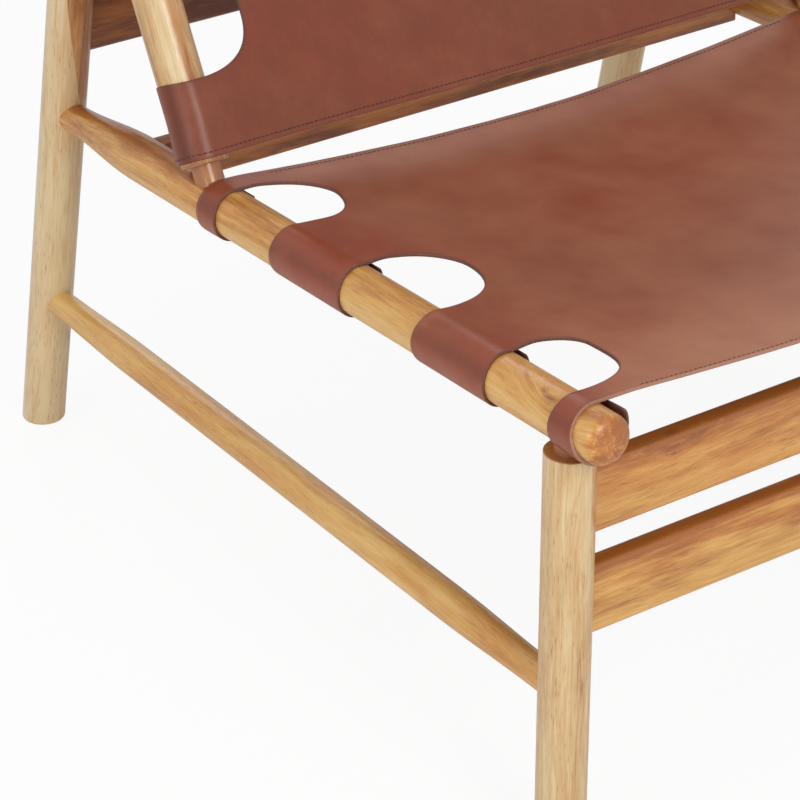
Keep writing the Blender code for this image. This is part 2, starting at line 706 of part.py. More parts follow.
def build():
    """Make every piece and cut the joints between them."""
    clear_scene()
    chair = Chair()
    legs, rails, posts = {}, {}, {}
    fronts = make_front_boards(chair)
    rear_mortise = make_rear_board(chair)[1]
    cross_mortise = make_cross_rail(chair)[1]
    top_sockets = make_top_bar(chair)[1]
    seat = make_sling(
        chair, "seat_sling", RAIL_AXIS, SEAT_START, SEAT_END, SEAT_SAGS, SEAT_GAPS,
        SEAT_CUTOUT_REACH, SEAT_FRONT_SETBACK,
    )
    back = make_sling(
        chair, "back_sling", POST_AXIS, BACK_START, BACK_END, BACK_SAGS, BACK_GAPS,
        BACK_CUTOUT_REACH,
    )
    for side, sign in SIDES.items():
        front, front_hole = make_front_leg(chair, side, sign)
        rear, rear_socket = make_rear_leg(chair, side, sign)
        rail, rail_socket = make_seat_rail(chair, side, sign)
        post, post_hole = make_back_post(chair, side, sign)
        stretcher_sockets = make_stretcher(chair, side, sign)[1]
        combine(front, [mortise for _, mortise in fronts] + [stretcher_sockets[0]])
        combine(rear, [rail_socket, stretcher_sockets[1], rear_mortise])
        combine(rail, [front_hole, post_hole, cross_mortise])
        combine(post, [rear_socket, top_sockets[0 if sign < 0 else 1]])
        combine(seat, [front_hole])
        legs["front", side] = front
        legs["rear", side] = rear
        rails[side] = rail
        posts[side] = post
    make_screws(chair, "seat_screw", RAIL_AXIS, seat_screw_stations(), seat, rails)
    make_screws(chair, "back_screw", POST_AXIS, back_screw_stations(), back, posts)
    make_glides(chair, legs)


build()
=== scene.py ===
"""Leather lounge chair: the finished pieces, their materials, the light and the camera.

Units are metres, +Z is up and the chair faces -Y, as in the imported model. Each side frame
lies in a plane of constant X. Stations along a bar run from the joint named in its axis.
"""

import logging
import math
from collections.abc import Callable
from dataclasses import dataclass, field
from enum import Enum

import bmesh
import bpy
from mathutils import Matrix, Vector, noise


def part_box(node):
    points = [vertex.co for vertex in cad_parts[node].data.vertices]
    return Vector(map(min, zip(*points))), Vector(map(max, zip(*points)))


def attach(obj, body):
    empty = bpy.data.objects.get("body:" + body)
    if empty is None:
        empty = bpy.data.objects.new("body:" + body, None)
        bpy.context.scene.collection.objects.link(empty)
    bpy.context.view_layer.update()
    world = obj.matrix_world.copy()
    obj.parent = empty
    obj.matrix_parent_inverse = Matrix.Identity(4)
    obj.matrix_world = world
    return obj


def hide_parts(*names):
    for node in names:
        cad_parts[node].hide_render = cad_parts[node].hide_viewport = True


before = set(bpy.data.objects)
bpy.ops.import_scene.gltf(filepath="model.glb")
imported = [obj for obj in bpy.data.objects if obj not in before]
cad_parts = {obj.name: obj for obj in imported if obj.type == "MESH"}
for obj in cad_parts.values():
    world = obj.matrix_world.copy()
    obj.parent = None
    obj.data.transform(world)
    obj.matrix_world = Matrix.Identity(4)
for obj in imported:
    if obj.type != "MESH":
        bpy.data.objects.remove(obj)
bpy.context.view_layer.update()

LOG = logging.getLogger("lounge_chair")
BODY = "root"
SIDES = {"left": -1.0, "right": 1.0}
Colour = tuple[float, float, float, float]
Triple = tuple[float, float, float]
Pair = tuple[float, float]


def unit(value: float) -> float:
    """The value kept between 0 and 1."""
    return min(1.0, max(0.0, value))


def ease(value: float) -> float:
    """Smooth step of a value, level below 0 and above 1."""
    share = unit(value)
    return share * share * (3 - 2 * share)


def box_centre(node: str) -> Vector:
    """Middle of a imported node's box."""
    low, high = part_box(node)
    return (Vector(low) + Vector(high)) / 2


@dataclass(frozen=True)
class Axis:
    """A straight line in a side frame: setback and height of its start, and its direction."""

    start: Pair
    angle: float

    def matrix(self, across: float = 0.0, along: float = 0.0) -> Matrix:
        """Frame whose +Z runs along the axis and whose +X is the chair's +X.

        Args:
            across: place along the chair's X.
            along: station along the axis.

        Returns:
            The frame as a 4 by 4 matrix.
        """
        forward = Vector((0.0, math.sin(self.angle), math.cos(self.angle)))
        side = Vector((1.0, 0.0, 0.0))
        matrix = Matrix((side, forward.cross(side), forward)).transposed().to_4x4()
        origin = Vector((0.0, self.start[0] + LAYOUT.origin_y, self.start[1]))
        matrix.translation = origin + forward * along + side * across
        return matrix

    def meets(self, other: "Axis") -> float:
        """Station along this axis where it crosses another one."""
        mine = Vector((math.sin(self.angle), math.cos(self.angle)))
        theirs = Vector((math.sin(other.angle), math.cos(other.angle)))
        offset = Vector(other.start) - Vector(self.start)
        return offset.cross(theirs) / mine.cross(theirs)


@dataclass(frozen=True)
class Layout:
    """Driving sizes of the chair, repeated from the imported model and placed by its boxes."""

    bar_radius: float = 0.020
    thin_radius: float = 0.015
    tenon_radius: float = 0.0125
    bar_tenon_radius: float = 0.013
    rail_overhang: float = 0.0485
    post_shoulder: float = 0.034
    leather: float = 0.0029
    half_span: float = field(default_factory=lambda: box_centre("front_leg_right").x)
    origin_y: float = field(default_factory=lambda: box_centre("front_leg_right").y)
    leg: Axis = Axis((0.0, 0.0), 0.0)
    rail_slope: float = math.radians(2.62)
    rail: Axis = Axis((0.0, 0.379), math.pi / 2 + rail_slope)
    rear_leg: Axis = Axis((0.8086, 0.0), -math.radians(12.17))
    stretcher: Axis = Axis((0.0, 0.1433), math.pi / 2)
    post_setback: float = 0.4785
    post_angle: float = math.radians(28.97)

    @property
    def post(self) -> Axis:
        """Back post's axis, from where it crosses the seat rail's axis."""
        height = self.rail.start[1] - self.post_setback * math.tan(self.rail_slope)
        return Axis((self.post_setback, height), self.post_angle)

    @property
    def loop_radius(self) -> float:
        """Radius of the leather's middle surface round a bar."""
        return self.bar_radius + self.leather / 2


LAYOUT = Layout()


def operator(operation: str, swapped: bool = False) -> Callable[["Value", object], "Value"]:
    """Make an operator of Value.

    Args:
        operation: the math node's operation.
        swapped: whether the other value comes first.

    Returns:
        The operator, for use as a method.
    """
    def method(value: "Value", other: object) -> "Value":
        """Math node of this value and another one."""
        first, second = (other, value) if swapped else (value, other)
        return value.graph.math(operation, first, second)
    return method


class Value:
    """One output socket of a node, for use in plain Python sums."""

    def __init__(self, graph: "Graph", socket: bpy.types.NodeSocket) -> None:
        """Keep the socket and the graph that it belongs to."""
        self.graph = graph
        self.socket = socket

    __add__, __radd__ = operator("ADD"), operator("ADD", swapped=True)
    __sub__, __rsub__ = operator("SUBTRACT"), operator("SUBTRACT", swapped=True)
    __mul__ = operator("MULTIPLY")

    def math(self, operation: str, *others: object) -> "Value":
        """Math node with this value first."""
        return self.graph.math(operation, self, *others)

    def clamp(self) -> "Value":
        """The value kept between 0 and 1."""
        return self.math("MINIMUM", 1.0).math("MAXIMUM", 0.0)


class Graph:
    """A material's node tree, built by expressions."""

    def __init__(self, name: str) -> None:
        """Make an empty node material."""
        self.material = bpy.data.materials.new(name)
        self.material.use_nodes = True
        self.tree = self.material.node_tree
        self.tree.nodes.clear()

    def node(self, kind: str, settings: dict | None = None, output: object = 0,
             **sockets: object) -> Value:
        """Add a node.

        Args:
            kind: the node's type.
            settings: properties set before the sockets; "stops" fills a colour ramp.
            output: name or number of the output wanted.
            sockets: values or links by socket name, or by number as in _0.

        Returns:
            The chosen output.
        """
        item = self.tree.nodes.new(kind)
        for key, value in (settings or {}).items():
            if key == "stops":
                self._fill_ramp(item.color_ramp, value)
            else:
                setattr(item, key, value)
        for key, value in sockets.items():
            name = int(key[1:]) if key[0] == "_" else key.replace("_", " ")
            self._feed(item.inputs[name], value)
        return Value(self, item.outputs[output])

    def _feed(self, socket: bpy.types.NodeSocket, value: object) -> None:
        """Link or set one input."""
        if isinstance(value, Value):
            self.tree.links.new(value.socket, socket)
        else:
            socket.default_value = value

    @staticmethod
    def _fill_ramp(ramp: bpy.types.ColorRamp, stops: list[tuple[float, Colour]]) -> None:
        """Set the stops of a colour ramp."""
        while len(ramp.elements) < len(stops):
            ramp.elements.new(1.0)
        for element, (place, colour) in zip(ramp.elements, stops):
            element.position = place
            element.color = colour

    def math(self, operation: str, *values: object) -> Value:
        """Math node of values and numbers."""
        sockets = {f"_{number}": value for number, value in enumerate(values)}
        return self.node("ShaderNodeMath", {"operation": operation}, **sockets)

    def attribute(self, name: str) -> Value:
        """Vector attribute of the mesh."""
        return self.node("ShaderNodeAttribute", {"attribute_name": name}, "Vector")

    def parts(self, vector: Value) -> tuple[Value, Value, Value]:
        """The three parts of a vector."""
        split = self.node("ShaderNodeSeparateXYZ", Vector=vector)
        outputs = split.socket.node.outputs
        return tuple(Value(self, outputs[number]) for number in range(3))

    def stretch(self, vector: Value, shares: Triple, shift: Triple = (0.0, 0.0, 0.0)) -> Value:
        """Scale a vector part by part, then shift it."""
        scaled = self.node(
            "ShaderNodeVectorMath", {"operation": "MULTIPLY"}, _0=vector, _1=shares,
        )
        return self.node("ShaderNodeVectorMath", {"operation": "ADD"}, _0=scaled, _1=shift)

    def noise(self, vector: Value, scale: float, detail: float, roughness: float) -> Value:
        """Noise between about 0 and 1."""
        return self.node(
            "ShaderNodeTexNoise", None, "Fac",
            Vector=vector, Scale=scale, Detail=detail, Roughness=roughness,
        )

    def layer(self, vector: Value, layer: Enum, shift: Triple = (0.0, 0.0, 0.0)) -> Value:
        """Noise of a named layer, whose value is its density, detail and roughness."""
        density, detail, roughness = layer.value
        return self.noise(self.stretch(vector, density, shift), 1.0, detail, roughness)

    def step(self, value: Value, low: float, high: float) -> Value:
        """Smooth step from 0 at low to 1 at high."""
        return self.node(
            "ShaderNodeMapRange", {"interpolation_type": "SMOOTHSTEP"}, 0,
            _0=value, _1=low, _2=high, _3=0.0, _4=1.0,
        )

    def mix(self, share: object, first: object, second: object) -> Value:
        """Mix of two colours."""
        return self.node(
            "ShaderNodeMix", {"data_type": "RGBA"}, 2, _0=share, _6=first, _7=second,
        )

    def ramp(self, value: Value, stops: list[tuple[float, Colour]]) -> Value:
        """Colour ramp."""
        return self.node("ShaderNodeValToRGB", {"stops": stops}, 0, Fac=value)

    def bump(self, height: Value, depth: float, strength: float) -> Value:
        """Bump normal from a height between 0 and 1."""
        return self.node(
            "ShaderNodeBump", None, "Normal", Height=height, Distance=depth, Strength=strength,
        )

    def finish(self, shader: Value) -> bpy.types.Material:
        """Link a shader to the material's output and return the material."""
        output = self.tree.nodes.new("ShaderNodeOutputMaterial")
        self.tree.links.new(shader.socket, output.inputs["Surface"])
        return self.material

    def surface(self, **sockets: object) -> bpy.types.Material:
        """Finish the material with a Principled shader and return it."""
        return self.finish(self.node("ShaderNodeBsdfPrincipled", None, "BSDF", **sockets))


def tint(red: float, green: float, blue: float) -> Colour:
    """Linear colour of a display colour with parts from 0 to 255."""
    parts = []
    for part in (red, green, blue):
        share = part / 255
        parts.append(share / 12.92 if share <= 0.04045 else ((share + 0.055) / 1.055) ** 2.4)
    return (*parts, 1.0)


class Timber(Enum):
    """Stock that a wooden piece is cut from."""

    PALE = "teak_pale"
    WARM = "teak_warm"


@dataclass(frozen=True)
class Knot:
    """A knot in a piece: its place in the piece's own grain frame, and its size."""

    place: Triple
    radius: float = 0.006


@dataclass(frozen=True)
class Zone:
    """A part of a piece with another tone, such as heartwood, end grain or painted shade.

    The tone comes in where the point's share in the direction passes from low to high,
    and only past the start station.
    """

    direction: Triple
    low: float
    high: float
    tone: float
    start: float | None = None


@dataclass(frozen=True)
class Cut:
    """A stretch of timber: its seed, tone, warm patches, knots and zones."""

    seed: int
    tone: float = 0.0
    orange: float = 0.0
    knots: tuple[Knot, ...] = ()
    zones: tuple[Zone, ...] = ()


class TeakNoise(Enum):
    """Noise of the teak: density across, deep and along the grain, detail, roughness."""

    WANDER = (6.0, 6.0, 4.5), 2.0, 0.5
    KNOT_RIM = (420.0, 420.0, 420.0), 3.0, 0.6
    BAND = (48.0, 62.0, 2.6), 2.0, 0.5
    BLOTCH = (75.0, 80.0, 15.0), 4.0, 0.6
    PATCH = (34.0, 30.0, 5.5), 3.0, 0.6
    STREAK = (280.0, 300.0, 11.0), 4.0, 0.64
    FIBRE = (820.0, 820.0, 36.0), 2.0, 0.6
    FLECK = (950.0, 950.0, 75.0), 1.0, 0.5
    RINGS = (115.0, 120.0, 3.4), 1.0, 0.4


@dataclass(frozen=True)
class TeakFinish:
    """Satin teak: soft long bands, fine fibres, short pores and a few dark ring lines.

    A pair holds the noise values at which a mark begins and is full.
    """

    pale: Colour = tint(220, 197, 152)
    middle: Colour = tint(203, 168, 116)
    dark: Colour = tint(172, 122, 68)
    deep: Colour = tint(104, 58, 30)
    orange: Colour = tint(198, 128, 64)
    line: Colour = tint(126, 76, 40)
    heart: Colour = tint(132, 66, 38)
    coat: float = 0.5
    contrast: float = 0.95
    base: float = 0.30
    orange_share: float = 0.25
    most_orange: float = 0.48
    tones: tuple[float, ...] = (0.0, 0.36, 0.74, 1.0)
    wander: float = 0.018
    pore_fleck: Pair = (0.60, 0.74)
    pore_patch: Pair = (0.30, 0.62)
    ring_width: Pair = (0.003, 0.022)
    ring_band: Pair = (0.42, 0.66)
    warm_patch: Pair = (0.42, 0.70)
    heart_fleck: Pair = (0.36, 0.56)
    knot_squash: Triple = (1.0, 1.0, 0.5)
    knot_spread: float = 2.4
    knot_push: float = 1.4
    zone_fade: float = 0.012
    seed_steps: Triple = (0.37, 0.61, 0.83)

    def make(self, name: str, cut: "Cut") -> bpy.types.Material:
        """Build the material.

        Args:
            name: the material's name.
            cut: the stretch of timber that the piece is made from.

        Returns:
            The material.
        """
        graph = Graph(name)
        place = graph.attribute("grain")
        shift = tuple(cut.seed * step for step in self.seed_steps)
        across, deep, along = graph.parts(place)
        wander = graph.layer(place, TeakNoise.WANDER, shift) - 0.5
        bend, knots = self._knots(graph, place, wander * self.wander, cut.knots)
        flow = graph.node("ShaderNodeCombineXYZ", X=across + bend, Y=deep - bend * 0.7, Z=along)
        band, blotch, streak, fibre, fleck = (
            graph.layer(flow, TeakNoise[layer], shift)
            for layer in ("BAND", "BLOTCH", "STREAK", "FIBRE", "FLECK")
        )
        patch = graph.layer(flow, TeakNoise.PATCH, shift[::-1])
        rings = graph.layer(flow, TeakNoise.RINGS, shift[::-1])
        pores = graph.step(fleck, *self.pore_fleck) * graph.step(patch, *self.pore_patch)
        ring = 1.0 - graph.step((rings - 0.5).math("ABSOLUTE"), *self.ring_width)
        ring = ring * graph.step(band, *self.ring_band)
        zoned = self._zones(graph, (across, deep, along), (blotch, streak), cut.zones)
        shade = (band - 0.5) + (blotch - 0.5) * 0.85 + (streak - 0.5) * 0.6
        shade = (shade + (fibre - 0.5) * 0.7 + ring * 0.10) * self.contrast
        shade = shade + zoned + (self.base + cut.tone)
        colour = graph.ramp(shade.clamp(), list(zip(
            self.tones, (self.pale, self.middle, self.dark, self.deep),
        )))
        warm = graph.step(patch + (streak - 0.5) * 0.4, *self.warm_patch)
        warm = warm * (self.orange_share + cut.orange) + zoned * 0.7
        warm = graph.math("MINIMUM", warm, self.most_orange)
        colour = graph.mix(warm.clamp(), colour, self.orange)
        colour = graph.mix((pores * 0.5 + ring * 0.26).clamp(), colour, self.line)
        if knots is not None:
            flecked = graph.step(streak + (blotch - 0.5) * 0.5, *self.heart_fleck) * 0.6 + 0.25
            colour = graph.mix(knots * flecked, colour, self.heart)
        height = fibre * 0.4 + streak * 0.2 + (1.0 - pores) * 0.4
        return graph.surface(
            Base_Color=colour,
            Roughness=(0.42 + (fibre - 0.5) * 0.2 + pores * 0.2).clamp(),
            Coat_Weight=self.coat, Coat_Roughness=0.18,
            Normal=graph.bump(height, 0.00022, 0.5),
        )

    def _knots(self, graph: Graph, place: Value, bend: Value,
               knots: tuple[Knot, ...]) -> tuple[Value, Value | None]:
        """Lead the grain round the knots.

        Args:
            graph: the material's node tree.
            place: the point in the piece's own grain frame.
            bend: sideways shift of the grain without its knots.
            knots: the piece's knots.

        Returns:
            The shift with the knots, and the mark of their cores, if there are any.
        """
        mark = None
        for knot in knots:
            centre = tuple(-part * share for part, share in zip(knot.place, self.knot_squash))
            spot = graph.stretch(place, self.knot_squash, centre)
            reach = graph.node(
                "ShaderNodeVectorMath", {"operation": "LENGTH"}, "Value", _0=spot,
            )
            spread = self.knot_spread * knot.radius
            near = graph.math("EXPONENT", reach * reach * (-0.5 / spread ** 2))
            bend = bend + near * knot.radius * self.knot_push
            rough = (graph.layer(place, TeakNoise.KNOT_RIM) - 0.5) * knot.radius
            core = 1.0 - graph.step(reach + rough, knot.radius * 0.1, knot.radius)
            mark = core if mark is None else mark.math("MAXIMUM", core)
        return bend, mark

    def _zones(self, graph: Graph, parts: tuple[Value, Value, Value],
               marks: tuple[Value, Value], zones: tuple[Zone, ...]) -> object:
        """Add up the tones of the zones.

        Args:
            graph: the material's node tree.
            parts: the point's parts in the piece's own grain frame.
            marks: the blotch and streak noise, which make the zones uneven.
            zones: the piece's zones.

        Returns:
            The tone as a value, or nought where there are no zones.
        """
        blotch, streak = marks
        uneven = (blotch - 0.5) * 2.6 + (streak - 0.5) * 1.4 + 1.0
        total = 0.0
        for zone in zones:
            lean = parts[0] * zone.direction[0] + parts[1] * zone.direction[1]
            lean = lean + parts[2] * zone.direction[2] + (blotch - 0.5) * (zone.high - zone.low)
            share = graph.step(lean, zone.low, zone.high)
            if zone.start is not None:
                share = share * graph.step(parts[2], zone.start, zone.start + self.zone_fade)
            total = total + share * zone.tone * uneven
        return total


class LeatherNoise(Enum):
    """Noise of the leather: density in three directions, detail, roughness."""

    CLOUD = (6.0, 6.0, 6.0), 4.0, 0.55
    MOTTLE = (38.0, 30.0, 34.0), 5.0, 0.62
    HAZE = (15.0, 13.0, 14.0), 4.0, 0.6
    SPECK = (160.0, 120.0, 140.0), 3.0, 0.6
    WRINKLE = (260.0, 90.0, 150.0), 4.0, 0.6
    NAP = (900.0, 900.0, 900.0), 3.0, 0.7
    FLESH_CLOUD = (28.0, 28.0, 28.0), 3.0, 0.5
    EDGE_FIBRE = (700.0, 700.0, 700.0), 3.0, 0.7


@dataclass(frozen=True)
class LeatherFinish:
    """Smooth vegetable-tanned saddle leather, redder and darker where it is bent, with a band
    of painted shade round each loop and a pale low end that is partly rubbed by use and partly
    painted sheen.

    A pair holds the values at which a mark begins and is full, most of them in metres.
    """

    face: Colour = tint(142, 78, 52)
    face_red: Colour = tint(146, 69, 46)
    face_dark: Colour = tint(104, 52, 36)
    # Pale tone near the low end, partly rubbed by use and partly painted sheen.
    face_worn_sheen: Colour = tint(176, 115, 85)
    edge: Colour = tint(96, 54, 40)
    edge_pale: Colour = tint(168, 122, 100)
    flesh: Colour = tint(118, 80, 60)
    # Dark tone of the seam crease and the cut-edge line, and painted shade on the loose ends.
    groove_and_shade: Colour = tint(74, 38, 28)
    shift: Triple = (3.37, 1.71, 2.29)
    pore_density: Triple = (1100.0, 900.0, 1000.0)
    red_cloud: Pair = (0.36, 0.66)
    worn_sheen_end: Pair = (0.0, 0.17)
    rim_line: Pair = (0.0003, 0.0016)
    seam_inset: float = 0.0050
    seam_width: Pair = (0.0002, 0.0013)
    front_edge: Pair = (0.0008, 0.003)
    # Reach across the hide where the painted shade on the loose ends begins and is full.
    flap_shade_reach: Pair = (0.383, 0.399)

    def make_face(self, name: str, bias: float, worn_sheen_share: float,
                  length: float) -> bpy.types.Material:
        """Grain side.

        Args:
            name: the material's name.
            bias: how far the whole hide leans to the dark tone, from -1 to 1.
            worn_sheen_share: how pale the hide is near its low end, partly rubbed by use and
                partly painted sheen.
            length: distance between the hide's two sewn ends.

        Returns:
            The material.
        """
        graph = Graph(name)
        place = graph.attribute("hide")
        bend_and_shade, rim, along = graph.parts(graph.attribute("wear"))
        # The attribute's first part is the bend up to one and a band of painted shade above it.
        bend, shade_band = bend_and_shade.clamp(), (bend_and_shade - 1.0).clamp()
        cloud, mottle, haze, speck = (
            graph.layer(place, LeatherNoise[layer], self.shift)
            for layer in ("CLOUD", "MOTTLE", "HAZE", "SPECK")
        )
        red = (graph.step(cloud, *self.red_cloud) * 0.7 + bend * 0.55).clamp()
        colour = graph.mix(red, self.face, self.face_red)
        # Paler towards the low end: partly rubbed by use, partly painted sheen.
        worn_and_sheen = (1.0 - graph.step(along, *self.worn_sheen_end)) * 0.92 + 0.26
        worn_and_sheen = worn_and_sheen * (1.0 - bend * 0.9) * ((mottle - 0.5) * 0.9 + worn_sheen_share)
        worn_and_sheen = (worn_and_sheen.clamp() + (haze - 0.5) * 1.2).clamp()
        colour = graph.mix(worn_and_sheen, colour, self.face_worn_sheen)
        # Darker with the mottle, the specks, the bend and the band of painted shade.
        dark = (mottle - 0.46) * 0.8 + (speck - 0.5) * 0.25 + bend * 0.10 + bias + shade_band * 0.5
        colour = graph.mix(dark.clamp(), colour, self.face_dark)
        near_edge = 1.0 - graph.step(rim, *self.rim_line)
        colour = graph.mix(near_edge * 0.45, colour, self.groove_and_shade)
        low = (along - self.seam_inset).math("ABSOLUTE")
        high = (along - (length - self.seam_inset)).math("ABSOLUTE")
        seam = 1.0 - graph.step(low.math("MINIMUM", high), *self.seam_width)
        colour = graph.mix(seam * 0.26, colour, self.groove_and_shade)
        grain = graph.node(
            "ShaderNodeTexVoronoi", {"feature": "DISTANCE_TO_EDGE"}, "Distance",
            Vector=graph.stretch(place, self.pore_density), Scale=1.0,
        )
        wrinkle = graph.layer(place, LeatherNoise.WRINKLE)
        height = graph.step(grain, 0.0, 0.35) * 0.3 + wrinkle * 0.7 - seam * 0.9
        return graph.surface(
            Base_Color=colour,
            Roughness=(0.41 + (mottle - 0.5) * 0.22 - bend * 0.08).clamp(),
            Specular_IOR_Level=0.32,
            Normal=graph.bump(height, 0.00022, 0.4),
        )

    def make_flesh(self, name: str) -> bpy.types.Material:
        """Suede underside."""
        graph = Graph(name)
        place = graph.attribute("hide")
        nap = graph.layer(place, LeatherNoise.NAP)
        cloud = graph.layer(place, LeatherNoise.FLESH_CLOUD)
        share = ((nap - 0.5) * 0.7 + (cloud - 0.5) * 0.8 + 0.4).clamp()
        return graph.surface(
            Base_Color=graph.mix(share, self.flesh, self.face_dark),
            Roughness=0.88,
            Normal=graph.bump(nap, 0.0004, 0.7),
        )

    def make_edge(self, name: str) -> bpy.types.Material:
        """Cut and burnished edge, paler at the front, with painted shade on the loose ends."""
        graph = Graph(name)
        place = graph.attribute("hide")
        fibre = graph.layer(place, LeatherNoise.EDGE_FIBRE)
        along = graph.parts(graph.attribute("wear"))[2]
        front = 1.0 - graph.step(along, *self.front_edge)
        tone = ((fibre - 0.5) * 0.7 + 0.10 + front * 0.80).clamp()
        reach = graph.parts(place)[0].math("ABSOLUTE")
        # Painted shade on the cut edges of the loose ends, which lie in shadow.
        flap = graph.step(reach, *self.flap_shade_reach)
        colour = graph.mix(tone, self.edge, self.edge_pale)
        return graph.surface(
            Base_Color=graph.mix(flap * 0.85, colour, self.groove_and_shade),
            Roughness=0.6,
            Normal=graph.bump(fibre, 0.0003, 0.5),
        )


@dataclass(frozen=True)
class PlainFinish:
    """Metal, plastic or thread with a little speckle."""

    colour: Colour
    dark: Colour
    roughness: float
    metallic: float = 0.0
    speckle: float = 700.0

    def make(self, name: str) -> bpy.types.Material:
        """Build the material."""
        graph = Graph(name)
        place = graph.node("ShaderNodeTexCoord", None, "Object")
        speck = graph.noise(place, self.speckle, 3.0, 0.6)
        share = graph.step(speck, 0.35, 0.75)
        return graph.surface(
            Base_Color=graph.mix(share, self.colour, self.dark),
            Metallic=self.metallic,
            Roughness=(self.roughness + (speck - 0.5) * 0.2).clamp(),
            Normal=graph.bump(speck, 0.0001, 0.4),
        )


TEAK = {
    Timber.PALE: TeakFinish(),
    Timber.WARM: TeakFinish(
        pale=tint(224, 181, 108), middle=tint(206, 153, 78), dark=tint(162, 99, 38),
        deep=tint(106, 50, 16), orange=tint(200, 122, 46), base=0.34, orange_share=0.36,
        coat=0.32, contrast=0.8,
    ),
}
LEATHER = LeatherFinish()
STEEL = PlainFinish(tint(196, 196, 198), tint(150, 150, 152), 0.3, 1.0)
NYLON = PlainFinish(tint(40, 38, 36), tint(26, 25, 24), 0.55)
THREAD = PlainFinish(tint(70, 38, 30), tint(44, 24, 20), 0.7, 0.0, 1800.0)


def new_object(name: str, data: bpy.types.ID) -> bpy.types.Object:
    """Object of the given data, put in the scene."""
    item = bpy.data.objects.new(name, data)
    bpy.context.scene.collection.objects.link(item)
    return item


def add_piece(mesh: bpy.types.Mesh, replaced: tuple[str, ...]) -> bpy.types.Object:
    """Put a finished mesh in the scene as a piece of the chair.

    Args:
        mesh: the mesh, with its place in its points.
        replaced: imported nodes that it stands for.

    Returns:
        The new object.
    """
    piece = new_object(mesh.name, mesh)
    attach(piece, BODY)
    if replaced:
        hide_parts(*replaced)
    LOG.info("%s: %d faces", piece.name, len(mesh.polygons))
    return piece


def add_wood(solid: bmesh.types.BMesh, name: str, matrix: Matrix, crease: float,
             timber: Timber, cut: Cut) -> bpy.types.Object:
    """Finish a drawn wooden solid and put it in the scene in place of the node of its name.

    Args:
        solid: the solid in its own frame; it is freed.
        name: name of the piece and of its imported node.
        matrix: the piece's frame.
        crease: angle in degrees above which an edge stays sharp.
        timber: the stock.
        cut: the stretch of timber.

    Returns:
        The new object.
    """
    mesh = bpy.data.meshes.new(name)
    bmesh.ops.recalc_face_normals(solid, faces=solid.faces)
    solid.to_mesh(mesh)
    solid.free()
    mesh.transform(matrix)
    mesh.shade_smooth()
    mesh.set_sharp_from_angle(angle=math.radians(crease))
    mesh.materials.append(TEAK[timber].make(name + "_teak", cut))
    return add_piece(mesh, (name,))


def flat_mesh(piece: bpy.types.Object, name: str) -> bpy.types.Mesh:
    """Mesh of an object with its modifiers applied; the object is removed."""
    bpy.context.view_layer.update()
    graph = bpy.context.evaluated_depsgraph_get()
    mesh = bpy.data.meshes.new_from_object(piece.evaluated_get(graph))
    mesh.name = name
    bpy.data.objects.remove(piece, do_unlink=True)
    return mesh


def store_vectors(mesh: bpy.types.Mesh, name: str, vectors: list[Vector]) -> None:
    """Store one vector for each point of a mesh."""
    attribute = mesh.attributes.new(name, "FLOAT_VECTOR", "POINT")
    flat = [part for vector in vectors for part in vector]
    attribute.data.foreach_set("vector", flat)


class Profile:
    """Outline of a turned piece, drawn from one end to the other."""

    def __init__(self, radius: float, station: float) -> None:
        """Start the outline."""
        self.points: list[Pair] = [(radius, station)]

    def to(self, radius: float, *stations: float) -> "Profile":
        """Straight lines to points of one radius."""
        self.points += [(radius, station) for station in stations]
        return self

    def sweep(self, radius: float, station: float, steps: int = 16) -> "Profile":
        """Smooth change of radius to a point."""
        first, start = self.points[-1]
        for step in range(1, steps + 1):
            share = step / steps
            blend = (1 - math.cos(math.pi * share)) / 2
            self.to(first + (radius - first) * blend, start + (station - start) * share)
        return self

    def corner(self, radius: float, station: float, rounding: float, outward: bool,
               steps: int = 5) -> "Profile":
        """Quarter round between a line across the axis and one along it.

        Args:
            radius: radius of the sharp corner.
            station: station of the sharp corner.
            rounding: radius of the quarter round; negative at an end, positive at a start.
            outward: whether the outline runs outward into the corner.
            steps: lines of the round.

        Returns:
            The outline.
        """
        size = abs(rounding)
        for step in range(steps + 1):
            angle = math.pi / 2 * step / steps
            if not outward:
                angle = math.pi / 2 - angle
            self.to(
                radius - size + size * math.sin(angle),
                station + rounding * (1 - math.cos(angle)),
            )
        return self


